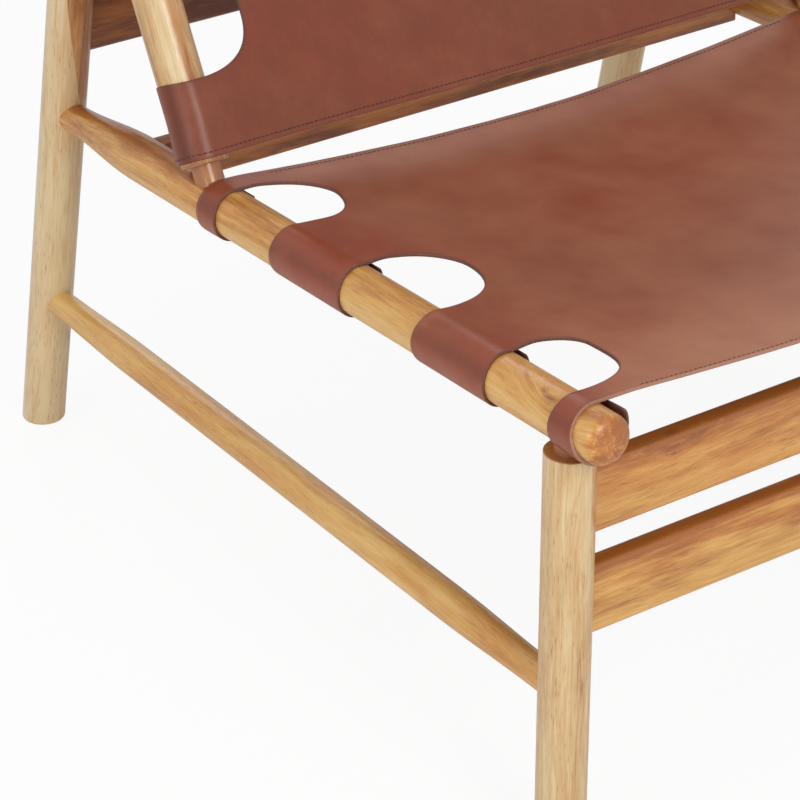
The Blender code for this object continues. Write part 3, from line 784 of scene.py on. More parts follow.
@dataclass
class TurnedBar:
    """A round wooden bar made from an outline.

    A bar with a level is cut off level at that height, with a small round.
    """

    name: str
    matrix: Matrix
    profile: Profile
    timber: Timber
    cut: Cut
    sides: int = 96
    level: float | None = None
    level_round: float = 0.003
    crease: float = 32.0

    def build(self) -> bpy.types.Object:
        """Make the bar, finish it and put it in the scene."""
        solid = bmesh.new()
        layer = solid.verts.layers.float_vector.new("grain")
        rings = []
        for radius, station in self.profile.points:
            count = self.sides if radius > 0 else 1
            ring = []
            for number in range(count):
                turn = math.tau * number / count
                place = Vector((radius * math.cos(turn), radius * math.sin(turn), station))
                vertex = solid.verts.new(place)
                vertex[layer] = place
                ring.append(vertex)
            rings.append(ring)
        for lower, upper in zip(rings, rings[1:]):
            self._join(solid, lower, upper)
        if self.level is not None:
            self._cut_level(solid)
        return add_wood(solid, self.name, self.matrix, self.crease, self.timber, self.cut)

    @staticmethod
    def _join(solid: bmesh.types.BMesh, lower: list, upper: list) -> None:
        """Fill the band between two rings, either of which may be a single point."""
        count = max(len(lower), len(upper))
        for number in range(count):
            after = (number + 1) % count
            if len(lower) == 1:
                solid.faces.new((lower[0], upper[after], upper[number]))
            elif len(upper) == 1:
                solid.faces.new((lower[number], lower[after], upper[0]))
            else:
                solid.faces.new((lower[number], lower[after], upper[after], upper[number]))

    def _cut_level(self, solid: bmesh.types.BMesh) -> None:
        """Cut a leaning bar level above the floor and round the new edge."""
        back = self.matrix.inverted()
        foot = self.matrix.translation
        down = back.to_3x3() @ Vector((0.0, 0.0, -1.0))
        cut = bmesh.ops.bisect_plane(
            solid, geom=solid.verts[:] + solid.edges[:] + solid.faces[:], dist=1e-7,
            plane_co=back @ Vector((foot.x, foot.y, self.level)), plane_no=down,
            clear_outer=True,
        )
        rim = [part for part in cut["geom_cut"] if isinstance(part, bmesh.types.BMEdge)]
        bmesh.ops.contextual_create(solid, geom=rim)
        bmesh.ops.bevel(
            solid, geom=rim, offset=self.level_round, segments=4, affect="EDGES", profile=0.5,
        )


@dataclass
class Board:
    """A flat rail with rounded edges along its length."""

    name: str
    matrix: Matrix
    length: float
    thickness: float
    height: float
    rounding: float
    cut: Cut
    stations: int = 40
    corner_steps: int = 6
    crease: float = 50.0

    def section(self) -> list[Pair]:
        """Points round the rounded cross-section."""
        points = []
        depth, rise = self.thickness / 2 - self.rounding, self.height / 2 - self.rounding
        for corner, (side, up) in enumerate(((1, 1), (-1, 1), (-1, -1), (1, -1))):
            for step in range(self.corner_steps + 1):
                turn = math.pi / 2 * (corner + step / self.corner_steps)
                points.append((
                    side * depth + self.rounding * math.cos(turn),
                    up * rise + self.rounding * math.sin(turn),
                ))
        return points

    def build(self) -> bpy.types.Object:
        """Make the board, finish it and put it in the scene."""
        solid = bmesh.new()
        layer = solid.verts.layers.float_vector.new("grain")
        outline = self.section()
        rings = []
        for number in range(self.stations + 1):
            along = self.length * (number / self.stations - 0.5)
            ring = []
            for deep, up in outline:
                vertex = solid.verts.new((along, deep, up))
                vertex[layer] = Vector((up, deep, along))
                ring.append(vertex)
            rings.append(ring)
        count = len(outline)
        for lower, upper in zip(rings, rings[1:]):
            for number in range(count):
                after = (number + 1) % count
                solid.faces.new((lower[number], upper[number], upper[after], lower[after]))
        solid.faces.new(rings[0])
        solid.faces.new(reversed(rings[-1]))
        return add_wood(solid, self.name, self.matrix, self.crease, Timber.WARM, self.cut)


@dataclass(frozen=True)
class Gap:
    """A cut-out between two tabs.

    It runs along the bar from low to high and reaches furthest inward at its peak. The
    powers shape its two inner corners, and the waists narrow it beside the bar, up to the
    waist's reach. Round the bar the swell narrows it, and between the loose ends the flap
    spread narrows its high end. The chair's right side may have a reach of its own.
    """

    low: float
    high: float
    reach: float
    peak: float
    low_powers: Pair = (2.6, 2.6)
    high_powers: Pair = (2.6, 2.6)
    waists: Pair = (0.0, 0.0)
    waist_reach: float = 0.036
    flap_spread: float = 0.0
    swell: float = 0.0022
    right_reach: float | None = None

    def field(self, inward: float, turned: float, station: float, side: float) -> float:
        """Distance outside the outline, about in metres and negative inside the gap.

        Args:
            inward: distance from the bar's axis towards the middle of the span.
            turned: angle from the bar's crown back towards the loose end.
            station: place along the bar.
            side: the chair's side, -1 or 1.

        Returns:
            The signed distance.
        """
        before = station < self.peak
        half = self.peak - self.low if before else self.high - self.peak
        half -= self.waists[0 if before else 1] * (1 - ease(inward / self.waist_reach))
        off = abs(station - self.peak)
        if turned > 0:
            if turned < math.pi:
                return off - half + self.swell * math.sin(turned) ** 2
            spread = 0.0 if before else self.flap_spread
            return off - half + spread * ease((turned - math.pi) / 2)
        inner, along = self.low_powers if before else self.high_powers
        reach = self.right_reach if side > 0 and self.right_reach else self.reach
        bulge = (max(inward, 0.0) / reach) ** inner + (off / half) ** along
        return (bulge ** (2 / (inner + along)) - 1) * min(half, reach)


@dataclass(frozen=True)
class EdgeLine:
    """How far an end of the leather is shifted along the bar, by distance inward."""

    knots: tuple[Pair, ...]

    def shift(self, inward: float, turned: float) -> float:
        """Shift at a place of the width; the loop takes distances below nought."""
        place = inward if turned <= 0 else -turned * LAYOUT.loop_radius
        if place <= self.knots[0][0]:
            return self.knots[0][1]
        if place >= self.knots[-1][0]:
            return self.knots[-1][1]
        number = sum(knot[0] < place for knot in self.knots) - 1
        (start, low), (end, high) = self.knots[number:number + 2]
        width = end - start
        share = (place - start) / width
        rise, fall = self._slope(number) * width, self._slope(number + 1) * width
        turn = ease(share)
        return (
            low + (high - low) * turn + rise * share * (1 - share) ** 2
            - fall * share * share * (1 - share)
        )

    def _slope(self, number: int) -> float:
        """Slope of the line at a knot, level at both ends."""
        if number in (0, len(self.knots) - 1):
            return 0.0
        before, after = self.knots[number - 1], self.knots[number + 1]
        return (after[1] - before[1]) / (after[0] - before[0])


@dataclass
class Sling:
    """A leather panel with tabs that go round both bars and end in loose flaps.

    Stations run along the bars from start to end. The sags are the depth of the belly at
    the start, the middle and the end. A pair for the flaps or the thinning holds the value
    at the low end and the high one, or on the loop and on the loose end. The grid is fine
    up to its reach inward and then grows to the widest column; rows are close together
    beside a gap's corners. Each wave is its two densities, its offset and its height.
    """

    name: str
    axis: Axis
    start: float
    end: float
    sags: Triple
    gaps: tuple[Gap, ...]
    low_edge: EdgeLine
    high_edge: EdgeLine
    flat: Pair
    rests_on: tuple[str, ...]
    tone: float = 0.0
    # How pale the hide is near its low end, partly rubbed by use and partly painted sheen.
    worn_and_sheen: float = 0.0
    sewn_from: float = -0.985
    seed: int = 1
    thinning: Pair = (0.0005, 0.0007)
    snug_inset: float = 0.04
    loose_from: float = 3.3
    # Turn and width of a band of painted shade round each loop.
    shade_band: float = math.radians(62)
    shade_band_width: float = 0.3
    bend_reach: float = 0.10
    flap_angles: Pair = (math.radians(311), math.radians(295))
    flap_lifts: Pair = (0.0040, 0.0020)
    lift_from: float = math.radians(246)
    lift_turn: float = math.radians(60)
    lift_front: float = 0.05
    fine: float = 0.0028
    fine_reach: float = 0.078
    growth: float = 1.16
    widest: float = 0.016
    corner_inset: float = 0.008
    corner_reach: float = 0.014
    row_shares: Pair = (0.85, 1.5)
    edge_fade: float = 0.045
    waves: tuple[tuple[float, float, float, float], ...] = (
        (9, 9, 7.3, 0.0011), (30, 22, 3.1, 0.00022),
    )
    hide_step: float = 1.7
    edge_round: float = 0.0005
    crease: float = 50.0
    even_from: float = 0.25
    calm_rate: float = 5.0
    look_ahead: float = 0.006
    cut_steps: int = 18
    matrix: Matrix = field(init=False)
    area: float = field(init=False)

    def __post_init__(self) -> None:
        """Work out the sling's frame."""
        self.matrix = self.axis.matrix()

    def sag(self, station: float) -> float:
        """Depth of the belly at a station."""
        share = unit((station - self.start) / (self.end - self.start))
        first, middle, last = self.sags
        slope = 4 * middle - 3 * first - last
        bend = 2 * first + 2 * last - 4 * middle
        return first + slope * share + bend * share * share

    def flap_end(self, station: float) -> float:
        """Angle of the loose end, which is shorter towards the high end."""
        low, high = self.flap_angles
        share = (station - self.start) / (self.end - self.start)
        return low + (high - low) * max(0.0, share) ** 3

    def snug(self, turned: float, station: float) -> float:
        """Thinning of the leather where it is pulled hard round a bar.

        Args:
            turned: angle from the bar's crown back towards the loose end.
            station: place along the bar.

        Returns:
            The thinning.
        """
        inset = min(station - self.start, self.end - station)
        tight = self.thinning[0] * ease(turned) * ease(inset / self.snug_inset)
        return tight + self.thinning[1] * ease(turned - self.loose_from)

    def section(self, place: float, station: float) -> tuple[float, float, float, float]:
        """Point of the leather's middle surface.

        Args:
            place: below nought the share of the loop back to the loose end, and
                above it the share of the span up to the middle.
            station: place along the bar.

        Returns:
            Inward and outward distances from the bar's axis, the angle turned back
            from the crown, and the flat distance from the crown.
        """
        radius, span = LAYOUT.loop_radius, LAYOUT.half_span
        slope = math.atan(2 * self.sag(station) / span)
        if place <= 0:
            turned = -slope + (self.flap_end(station) + slope) * -place
            loose = unit((turned - self.lift_from) / self.lift_turn)
            front, lift = self.flap_lifts
            lift += (front - lift) * ease(1 - (station - self.start) / self.lift_front)
            reach = radius - self.snug(turned, station) / 2 + lift * loose * loose
            inward, outward = -reach * math.sin(turned), reach * math.cos(turned)
            return inward, outward, turned, -radius * turned
        leave = (radius * math.sin(slope), radius * math.cos(slope))
        run = span - leave[0]
        drop = math.tan(slope) * run * (place - place * place / 2)
        stretch = 1 + slope * slope * (1 - place + place * place / 3) / 2
        flat = radius * slope + run * place * stretch
        return leave[0] + run * place, leave[1] - drop, -slope, flat

    def columns(self) -> list[float]:
        """Places across half of the width, from the loose end to the middle."""
        loop = LAYOUT.loop_radius * self.flap_angles[0]
        count = round(loop / self.fine)
        places = [-1 + number / count for number in range(count)] + [0.0]
        span = LAYOUT.half_span
        step, reach = self.fine / span, 0.0
        while reach < 1:
            if reach * span > self.fine_reach:
                step = min(step * self.growth, self.widest / span)
            reach += step
            places.append(reach)
        scale = 1 / places[-1]
        places = [place * scale if place > self.even_from else place for place in places[:-1]]
        return places + [1.0]

    def rows(self) -> list[float]:
        """Stations of the rows, closer together where an outline turns."""
        places, place = [self.start], self.start
        close, wide = self.row_shares
        while place < self.end:
            turn = min(
                min(abs(place - gap.low - self.corner_inset),
                    abs(place - gap.high + self.corner_inset))
                for gap in self.gaps
            )
            place += self.fine * (close if turn < self.corner_reach else wide)
            places.append(place)
        scale = (self.end - self.start) / (places[-1] - self.start)
        return [self.start + (place - self.start) * scale for place in places]

    def station(self, place: float, row: float) -> float:
        """Station of a row, moved with the shaped end that it is near."""
        inward, _, turned, _ = self.section(place, row)
        low = max(0.0, 1 - (row - self.start) / self.edge_fade) ** 2
        high = max(0.0, 1 - (self.end - row) / self.edge_fade) ** 2
        return (
            row + self.low_edge.shift(inward, turned) * low
            + self.high_edge.shift(inward, turned) * high
        )

    def gap_field(self, place: float, station: float, side: float) -> float:
        """Distance outside the nearest gap."""
        inward, _, turned, _ = self.section(place, station)
        return min(gap.field(inward, turned, station, side) for gap in self.gaps)

    def edge_distance(self, place: float, row: float, side: float) -> float:
        """Distance from the nearest end or gap, in metres."""
        station = self.station(place, row)
        _, _, turned, _ = self.section(place, station)
        flap = LAYOUT.loop_radius * (self.flap_end(station) - turned)
        gap = self.gap_field(place, station, side)
        return min(row - self.start, self.end - row, gap, flap)

    def point(self, place: float, station: float, side: float) -> Vector:
        """Place of a point of the middle surface in the chair."""
        inward, outward, _, flat = self.section(place, station)
        if place > 0:
            swell = sum(
                noise.noise(Vector((flat * across * side, station * along, self.seed * offset)))
                * height for across, along, offset, height in self.waves
            )
            outward += min(1.0, place * self.calm_rate) * swell
        local = Vector((side * (LAYOUT.half_span - inward), -outward, station))
        return self.matrix @ local

    def outward(self, place: float, station: float, side: float) -> Vector:
        """Direction that the grain side faces."""
        step, shift = 0.004, 0.001
        low, high = max(place - step, -1.0), min(place + step, 1.0)
        across = self.point(high, station, side) - self.point(low, station, side)
        ahead, behind = (
            self.point(place, station + sign * shift, side) for sign in (1, -1)
        )
        return (across.cross(ahead - behind) * -side).normalized()

    def build(self) -> bpy.types.Object:
        """Make the leather and put it in the scene."""
        solid = bmesh.new()
        hide = solid.verts.layers.float_vector.new("hide")
        wear = solid.verts.layers.float_vector.new("wear")
        places, rows = self.columns(), self.rows()
        grid: dict[tuple[int, int], bmesh.types.BMVert] = {}
        flats: dict[bmesh.types.BMVert, Triple] = {}
        last = len(places) - 1
        for column in range(2 * last + 1):
            place = places[min(column, 2 * last - column)]
            side = -1.0 if column <= last else 1.0
            for number, row in enumerate(rows):
                vertex = solid.verts.new()
                grid[column, number] = vertex
                flats[vertex] = (place, row, side)
        for column in range(2 * last):
            for number in range(len(rows) - 1):
                solid.faces.new((
                    grid[column, number], grid[column + 1, number],
                    grid[column + 1, number + 1], grid[column, number + 1],
                ))
        self._cut_gaps(solid, flats)
        for vertex in solid.verts:
            place, row, side = flats[vertex]
            station = self.station(place, row)
            inward, _, turned, flat = self.section(place, station)
            vertex.co = self.point(place, station, side)
            middle = self.section(places[-1], station)[3]
            vertex[hide] = Vector((side * (middle - flat), station, self.seed * self.hide_step))
            bend = unit(1 - max(inward, 0.0) / self.bend_reach) if turned <= 0 else 1.0
            # A band of painted shade round each loop, added to the bend.
            shade_band = math.exp(-((turned - self.shade_band) / self.shade_band_width) ** 2)
            rim = max(0.0, self.edge_distance(place, row, side))
            # Parts: the bend with the band of painted shade, the distance from the nearest cut
            # edge, and the distance from the low end.
            vertex[wear] = Vector((bend * bend + shade_band, rim, row - self.start))
        kept = [flats[vertex] for vertex in solid.verts]
        return self._finish(solid, kept)

    def _cut_gaps(self, solid: bmesh.types.BMesh, flats: dict) -> None:
        """Move grid points onto the gaps' outlines and take out what lies inside them."""
        values = {}
        for vertex, (place, row, side) in flats.items():
            values[vertex] = self.gap_field(place, self.station(place, row), side)
        moves: dict[bmesh.types.BMVert, tuple[float, Triple]] = {}
        for edge in solid.edges:
            first, second = edge.verts
            if (values[first] < 0) == (values[second] < 0):
                continue
            share = self._crossing(flats[first], flats[second], values[first])
            mover, amount = (first, share) if share < 0.5 else (second, 1 - share)
            if mover not in moves or amount < moves[mover][0]:
                one, two = flats[first], flats[second]
                target = tuple(a + (b - a) * share for a, b in zip(one[:2], two[:2]))
                moves[mover] = (amount, (*target, flats[mover][2]))
        for vertex, (_, target) in moves.items():
            flats[vertex] = target
            values[vertex] = 0.0
        doomed, split = [], []
        for face in solid.faces:
            inside = [values[vertex] < 0 for vertex in face.verts]
            outside = [values[vertex] > 0 for vertex in face.verts]
            if any(inside) and any(outside):
                split.append(face)
            elif any(inside) or not any(outside):
                doomed.append(face)
        for face in split:
            ring = list(face.verts)
            marks = [number for number, vertex in enumerate(ring) if values[vertex] == 0]
            if len(marks) == 2 and marks[1] - marks[0] == 2:
                for start in marks:
                    corner = [ring[(start + step) % 4] for step in range(3)]
                    if values[corner[1]] > 0:
                        solid.faces.new(corner)
            elif sum(values[vertex] < 0 for vertex in ring) <= 1:
                keep = [vertex for vertex in ring if values[vertex] >= 0]
                if len(keep) == 3:
                    solid.faces.new(keep)
            doomed.append(face)
        bmesh.ops.delete(solid, geom=doomed, context="FACES")
        loose = [vertex for vertex in solid.verts if not vertex.link_faces]
        bmesh.ops.delete(solid, geom=loose, context="VERTS")

    def _crossing(self, first: tuple, second: tuple, value: float) -> float:
        """Share of the way between two flat points where a gap's outline lies."""
        low, high = 0.0, 1.0
        for _ in range(self.cut_steps):
            middle = (low + high) / 2
            place = first[0] + (second[0] - first[0]) * middle
            row = first[1] + (second[1] - first[1]) * middle
            if (self.gap_field(place, self.station(place, row), first[2]) < 0) == (value < 0):
                low = middle
            else:
                high = middle
        return (low + high) / 2

    def _finish(self, solid: bmesh.types.BMesh, kept: list[tuple]) -> bpy.types.Object:
        """Give the surface its thickness and materials, and put the piece in the scene."""
        mesh = bpy.data.meshes.new(self.name)
        self.area = sum(face.calc_area() for face in solid.faces)
        solid.normal_update()
        sample = max(solid.faces, key=lambda face: face.calc_area())
        outward = self.matrix.to_3x3() @ Vector((0.0, -1.0, 0.0))
        if sample.normal.dot(outward) < 0:
            bmesh.ops.reverse_faces(solid, faces=solid.faces[:])
        solid.to_mesh(mesh)
        solid.free()
        blank = new_object(self.name + "_blank", mesh)
        group = blank.vertex_groups.new(name="thickness")
        for number, (place, row, _) in enumerate(kept):
            turned = self.section(place, row)[2]
            thin = self.snug(turned, row)
            group.add([number], 1 - thin / LAYOUT.leather, "REPLACE")
        for finish in (
            LEATHER.make_face(
                self.name + "_grain_side", self.tone, self.worn_and_sheen, self.end - self.start,
            ),
            LEATHER.make_flesh(self.name + "_flesh_side"),
            LEATHER.make_edge(self.name + "_edge"),
        ):
            mesh.materials.append(finish)
        for kind, settings in (
            ("SOLIDIFY", {
                "thickness": LAYOUT.leather, "offset": 0.0, "use_even_offset": True,
                "vertex_group": "thickness", "material_offset": 1, "material_offset_rim": 2,
            }),
            ("BEVEL", {
                "width": self.edge_round, "segments": 2, "limit_method": "ANGLE",
                "angle_limit": math.radians(self.crease), "material": 2,
            }),
        ):
            modifier = blank.modifiers.new(kind.lower(), kind)
            for key, value in settings.items():
                setattr(modifier, key, value)
        finished = flat_mesh(blank, self.name)
        finished.shade_smooth()
        LOG.info("%s: flat area %.4f square metres", self.name, self.area)
        return add_piece(finished, (self.name,))

    def declare(self, piece: bpy.types.Object, stitches: bpy.types.Object) -> None:
        list(self.rests_on)

    def stitch_line(self, row: float, inset: float, pitch: float) -> list[tuple]:
        """Places of stitches along one end of the leather.

        Args:
            row: the end's own row.
            inset: distance from the end.
            pitch: distance between stitches.

        Returns:
            Point, direction along the seam and outward direction of each stitch.
        """
        sign = 1.0 if row == self.start else -1.0
        line = row + sign * inset
        stitches = []
        for side in (-1.0, 1.0):
            place = self.sewn_from
            while place < 1.0:
                station = self.station(place, line)
                ahead = min(1.0, place + self.look_ahead)
                here = self.point(place, station, side)
                there = self.point(ahead, self.station(ahead, line), side)
                run = (there - here).length / (ahead - place)
                out = self.outward(place, station, side)
                on_top = here + out * (LAYOUT.leather / 2)
                stitches.append((on_top, (there - here).normalized(), out))
                place += pitch / run
        return stitches


class Scatter:
    """Geometry Nodes tree that puts copies of a template on points with directions."""

    def __init__(self, name: str, template: bpy.types.Object,
                 material: bpy.types.Material) -> None:
        """Build the tree.

        Args:
            name: the tree's name.
            template: object that is copied; its +X runs along, its +Z outward.
            material: finish of the copies.
        """
        self.template = template
        self.tree = bpy.data.node_groups.new(name, "GeometryNodeTree")
        face = self.tree.interface
        face.new_socket("Geometry", in_out="INPUT", socket_type="NodeSocketGeometry")
        self.sizes = {
            key: face.new_socket(key, in_out="INPUT", socket_type="NodeSocket" + kind)
            for key, kind in (("Size", "Float"), ("Spread", "Float"), ("Seed", "Int"))
        }
        face.new_socket("Geometry", in_out="OUTPUT", socket_type="NodeSocketGeometry")
        start = self._node("NodeGroupInput").outputs
        source = self._node("GeometryNodeObjectInfo", {"Object": template})
        turn = self._turned({}, "Z", "AUTO", "outward")
        turn = self._turned({"Rotation": turn}, "X", "Z", "along")
        low, high = (self._sum(kind, 1.0, start["Spread"]) for kind in ("SUBTRACT", "ADD"))
        vary = self._node(
            "FunctionNodeRandomValue", {2: low, 3: high, "Seed": start["Seed"]},
            data_type="FLOAT",
        )
        copies = self._node("GeometryNodeInstanceOnPoints", {
            "Points": start["Geometry"], "Instance": source.outputs["Geometry"],
            "Rotation": turn, "Scale": self._sum("MULTIPLY", vary.outputs[1], start["Size"]),
        })
        real = self._node("GeometryNodeRealizeInstances", {0: copies.outputs[0]})
        finish = self._node("GeometryNodeSetMaterial", {
            "Geometry": real.outputs[0], "Material": material,
        })
        self._node("NodeGroupOutput", {0: finish.outputs[0]})

    def _node(self, kind: str, inputs: dict | None = None,
              **settings: object) -> bpy.types.Node:
        """Add a node, set its properties, and link or set its inputs."""
        node = self.tree.nodes.new(kind)
        for key, value in settings.items():
            setattr(node, key, value)
        for key, value in (inputs or {}).items():
            if isinstance(value, bpy.types.NodeSocket):
                self.tree.links.new(value, node.inputs[key])
            else:
                node.inputs[key].default_value = value
        return node

    def _sum(self, operation: str, first: object, second: object) -> bpy.types.NodeSocket:
        """Math node of sockets or numbers."""
        node = self._node("ShaderNodeMath", {0: first, 1: second}, operation=operation)
        return node.outputs[0]

    def _turned(self, inputs: dict, axis: str, pivot: str,
                attribute: str) -> bpy.types.NodeSocket:
        """Turn an axis of the copies to a stored direction."""
        stored = self._node(
            "GeometryNodeInputNamedAttribute", {"Name": attribute}, data_type="FLOAT_VECTOR",
        )
        align = self._node(
            "FunctionNodeAlignRotationToVector",
            {"Vector": stored.outputs["Attribute"], **inputs}, axis=axis, pivot_axis=pivot,
        )
        return align.outputs["Rotation"]

    def place(self, name: str, stations: list[tuple], size: float = 1.0,
              spread: float = 0.0, seed: int = 1) -> bpy.types.Mesh:
        """Copy the template to a list of places.

        Args:
            name: name of the finished mesh.
            stations: point, direction along and direction outward of each copy.
            size: scale of every copy.
            spread: random change of scale, as a share.
            seed: seed of that change.

        Returns:
            The copies as one plain mesh.
        """
        mesh = bpy.data.meshes.new(name)
        mesh.from_pydata([point for point, _, _ in stations], [], [])
        store_vectors(mesh, "along", [along for _, along, _ in stations])
        store_vectors(mesh, "outward", [out for _, _, out in stations])
        carrier = new_object(name, mesh)
        modifier = carrier.modifiers.new("scatter", "NODES")
        modifier.node_group = self.tree
        values = {"Size": size, "Spread": spread, "Seed": seed}
        for key, socket in self.sizes.items():
            modifier[socket.identifier] = values[key]
        return flat_mesh(carrier, name)

    def close(self) -> None:
        """Remove the template once every copy is made."""
        bpy.data.objects.remove(self.template, do_unlink=True)


def template_object(name: str, points: list[tuple], faces: list[tuple],
                    smooth_angle: float) -> bpy.types.Object:
    """Hidden source object for copies."""
    mesh = bpy.data.meshes.new(name)
    mesh.from_pydata(points, [], faces)
    mesh.shade_smooth()
    mesh.set_sharp_from_angle(angle=math.radians(smooth_angle))
    item = new_object(name, mesh)
    item.hide_render = True
    return item


def ring_faces(rings: int, sides: int) -> list[tuple]:
    """Faces between closed rings of points, the last ring shut by one face."""
    faces = []
    for ring in range(rings - 1):
        for side in range(sides):
            after = (side + 1) % sides
            low, high = ring * sides, (ring + 1) * sides
            faces.append((low + side, low + after, high + after, high + side))
    last = (rings - 1) * sides
    faces.append(tuple(last + side for side in range(sides)))
    return faces


@dataclass
class Stitching:
    """Short waxed-thread stitches that run along the ends of the leather."""

    length: float = 0.0034
    width: float = 0.0009
    height: float = 0.00040
    pitch: float = 0.0045
    inset: float = 0.0050
    sides: int = 6
    outline: tuple[Pair, ...] = (
        (-0.5, 0.25), (-0.32, 0.85), (0.0, 1.0), (0.32, 0.85), (0.5, 0.25),
    )

    def template(self) -> bpy.types.Object:
        """One stitch: a low rounded bar that sinks into the leather at both ends."""
        points = []
        for along, share in self.outline:
            lift = self.height * (share - 0.9) * 0.6
            for side in range(self.sides):
                turn = math.tau * side / self.sides
                points.append((
                    along * self.length, self.width / 2 * share * math.cos(turn),
                    lift + self.height * share * math.sin(turn),
                ))
        faces = [tuple(reversed(range(self.sides)))]
        faces += ring_faces(len(self.outline), self.sides)
        return template_object("stitch_template", points, faces, 80)

    def build(self, scatter: Scatter, sling: Sling, rows: tuple[float, ...],
              seed: int) -> bpy.types.Object:
        """Sew the given ends of a sling."""
        stations = []
        for row in rows:
            stations += sling.stitch_line(row, self.inset, self.pitch)
        mesh = scatter.place(sling.name + "_stitches", stations, 1.0, 0.1, seed)
        return add_piece(mesh, ())


@dataclass
class Screws:
    """Pan-head screws with a cross recess that hold the loose ends of the loops."""

    head_radius: float = 0.004
    head_height: float = 0.0022
    shank_radius: float = 0.0015
    shank_length: float = 0.006
    recess: float = 0.0011
    angle: float = math.radians(250)
    sides: int = 16

    def template(self) -> bpy.types.Object:
        """One screw, its head's seat at the origin."""
        points = []
        outline = (
            (self.shank_radius, -self.shank_length), (self.shank_radius, 0.0),
            (self.head_radius, 0.0), (self.head_radius, 0.0007), (0.0032, 0.0017),
            (0.0021, self.head_height), (0.0010, self.head_height),
        )
        for number, (radius, height) in enumerate(outline):
            for side in range(self.sides):
                turn = math.tau * side / self.sides
                arm = side % 4 == 0
                reach, rise = radius, height
                if number >= 5 and arm:
                    rise -= self.recess
                if number == 6:
                    reach *= 0.9 if arm else 0.6
                    rise -= 0.0002
                points.append((reach * math.cos(turn), reach * math.sin(turn), rise))
        faces = ring_faces(len(outline), self.sides)
        return template_object("screw_template", points, faces, 40)

    def places(self, sling: Sling, stations: tuple[float, ...]) -> list[tuple]:
        """Where the screws sit on a sling's loose ends."""
        found = []
        radius = LAYOUT.loop_radius + LAYOUT.leather / 2
        turn = sling.matrix.to_3x3()
        for side in SIDES.values():
            across = side * (LAYOUT.half_span + radius * math.sin(self.angle))
            out = Vector((side * math.sin(self.angle), -math.cos(self.angle), 0.0))
            for station in stations:
                place = sling.matrix @ Vector((across, -radius * math.cos(self.angle), station))
                found.append((place, turn @ Vector((0, 0, 1)), turn @ out))
        return found


@dataclass
class Glides:
    """Round plastic glides let into the feet."""

    radius: float = 0.011
    height: float = 0.004
    rounding: float = 0.0005
    sides: int = 32

    def template(self) -> bpy.types.Object:
        """One glide, its underside at the floor."""
        points = []
        outline = (
            (self.radius, self.height), (self.radius, self.rounding),
            (self.radius - self.rounding, 0.0), (self.radius * 0.5, 0.0),
        )
        for radius, height in outline:
            for side in range(self.sides):
                turn = -math.tau * side / self.sides
                points.append((radius * math.cos(turn), radius * math.sin(turn), height))
        faces = ring_faces(len(outline), self.sides)
        faces.append(tuple(reversed(range(self.sides))))
        return template_object("glide_template", points, faces, 40)


# Directions of zones in a bar's grain frame: along it both ways, and towards its visible side.
UPWARD, DOWNWARD = (0.0, 0.0, 1.0), (0.0, 0.0, -1.0)
REAR_SIDE, NEAR_SIDE = (0.82, -0.57, 0.0), (0.68, -0.73, 0.0)


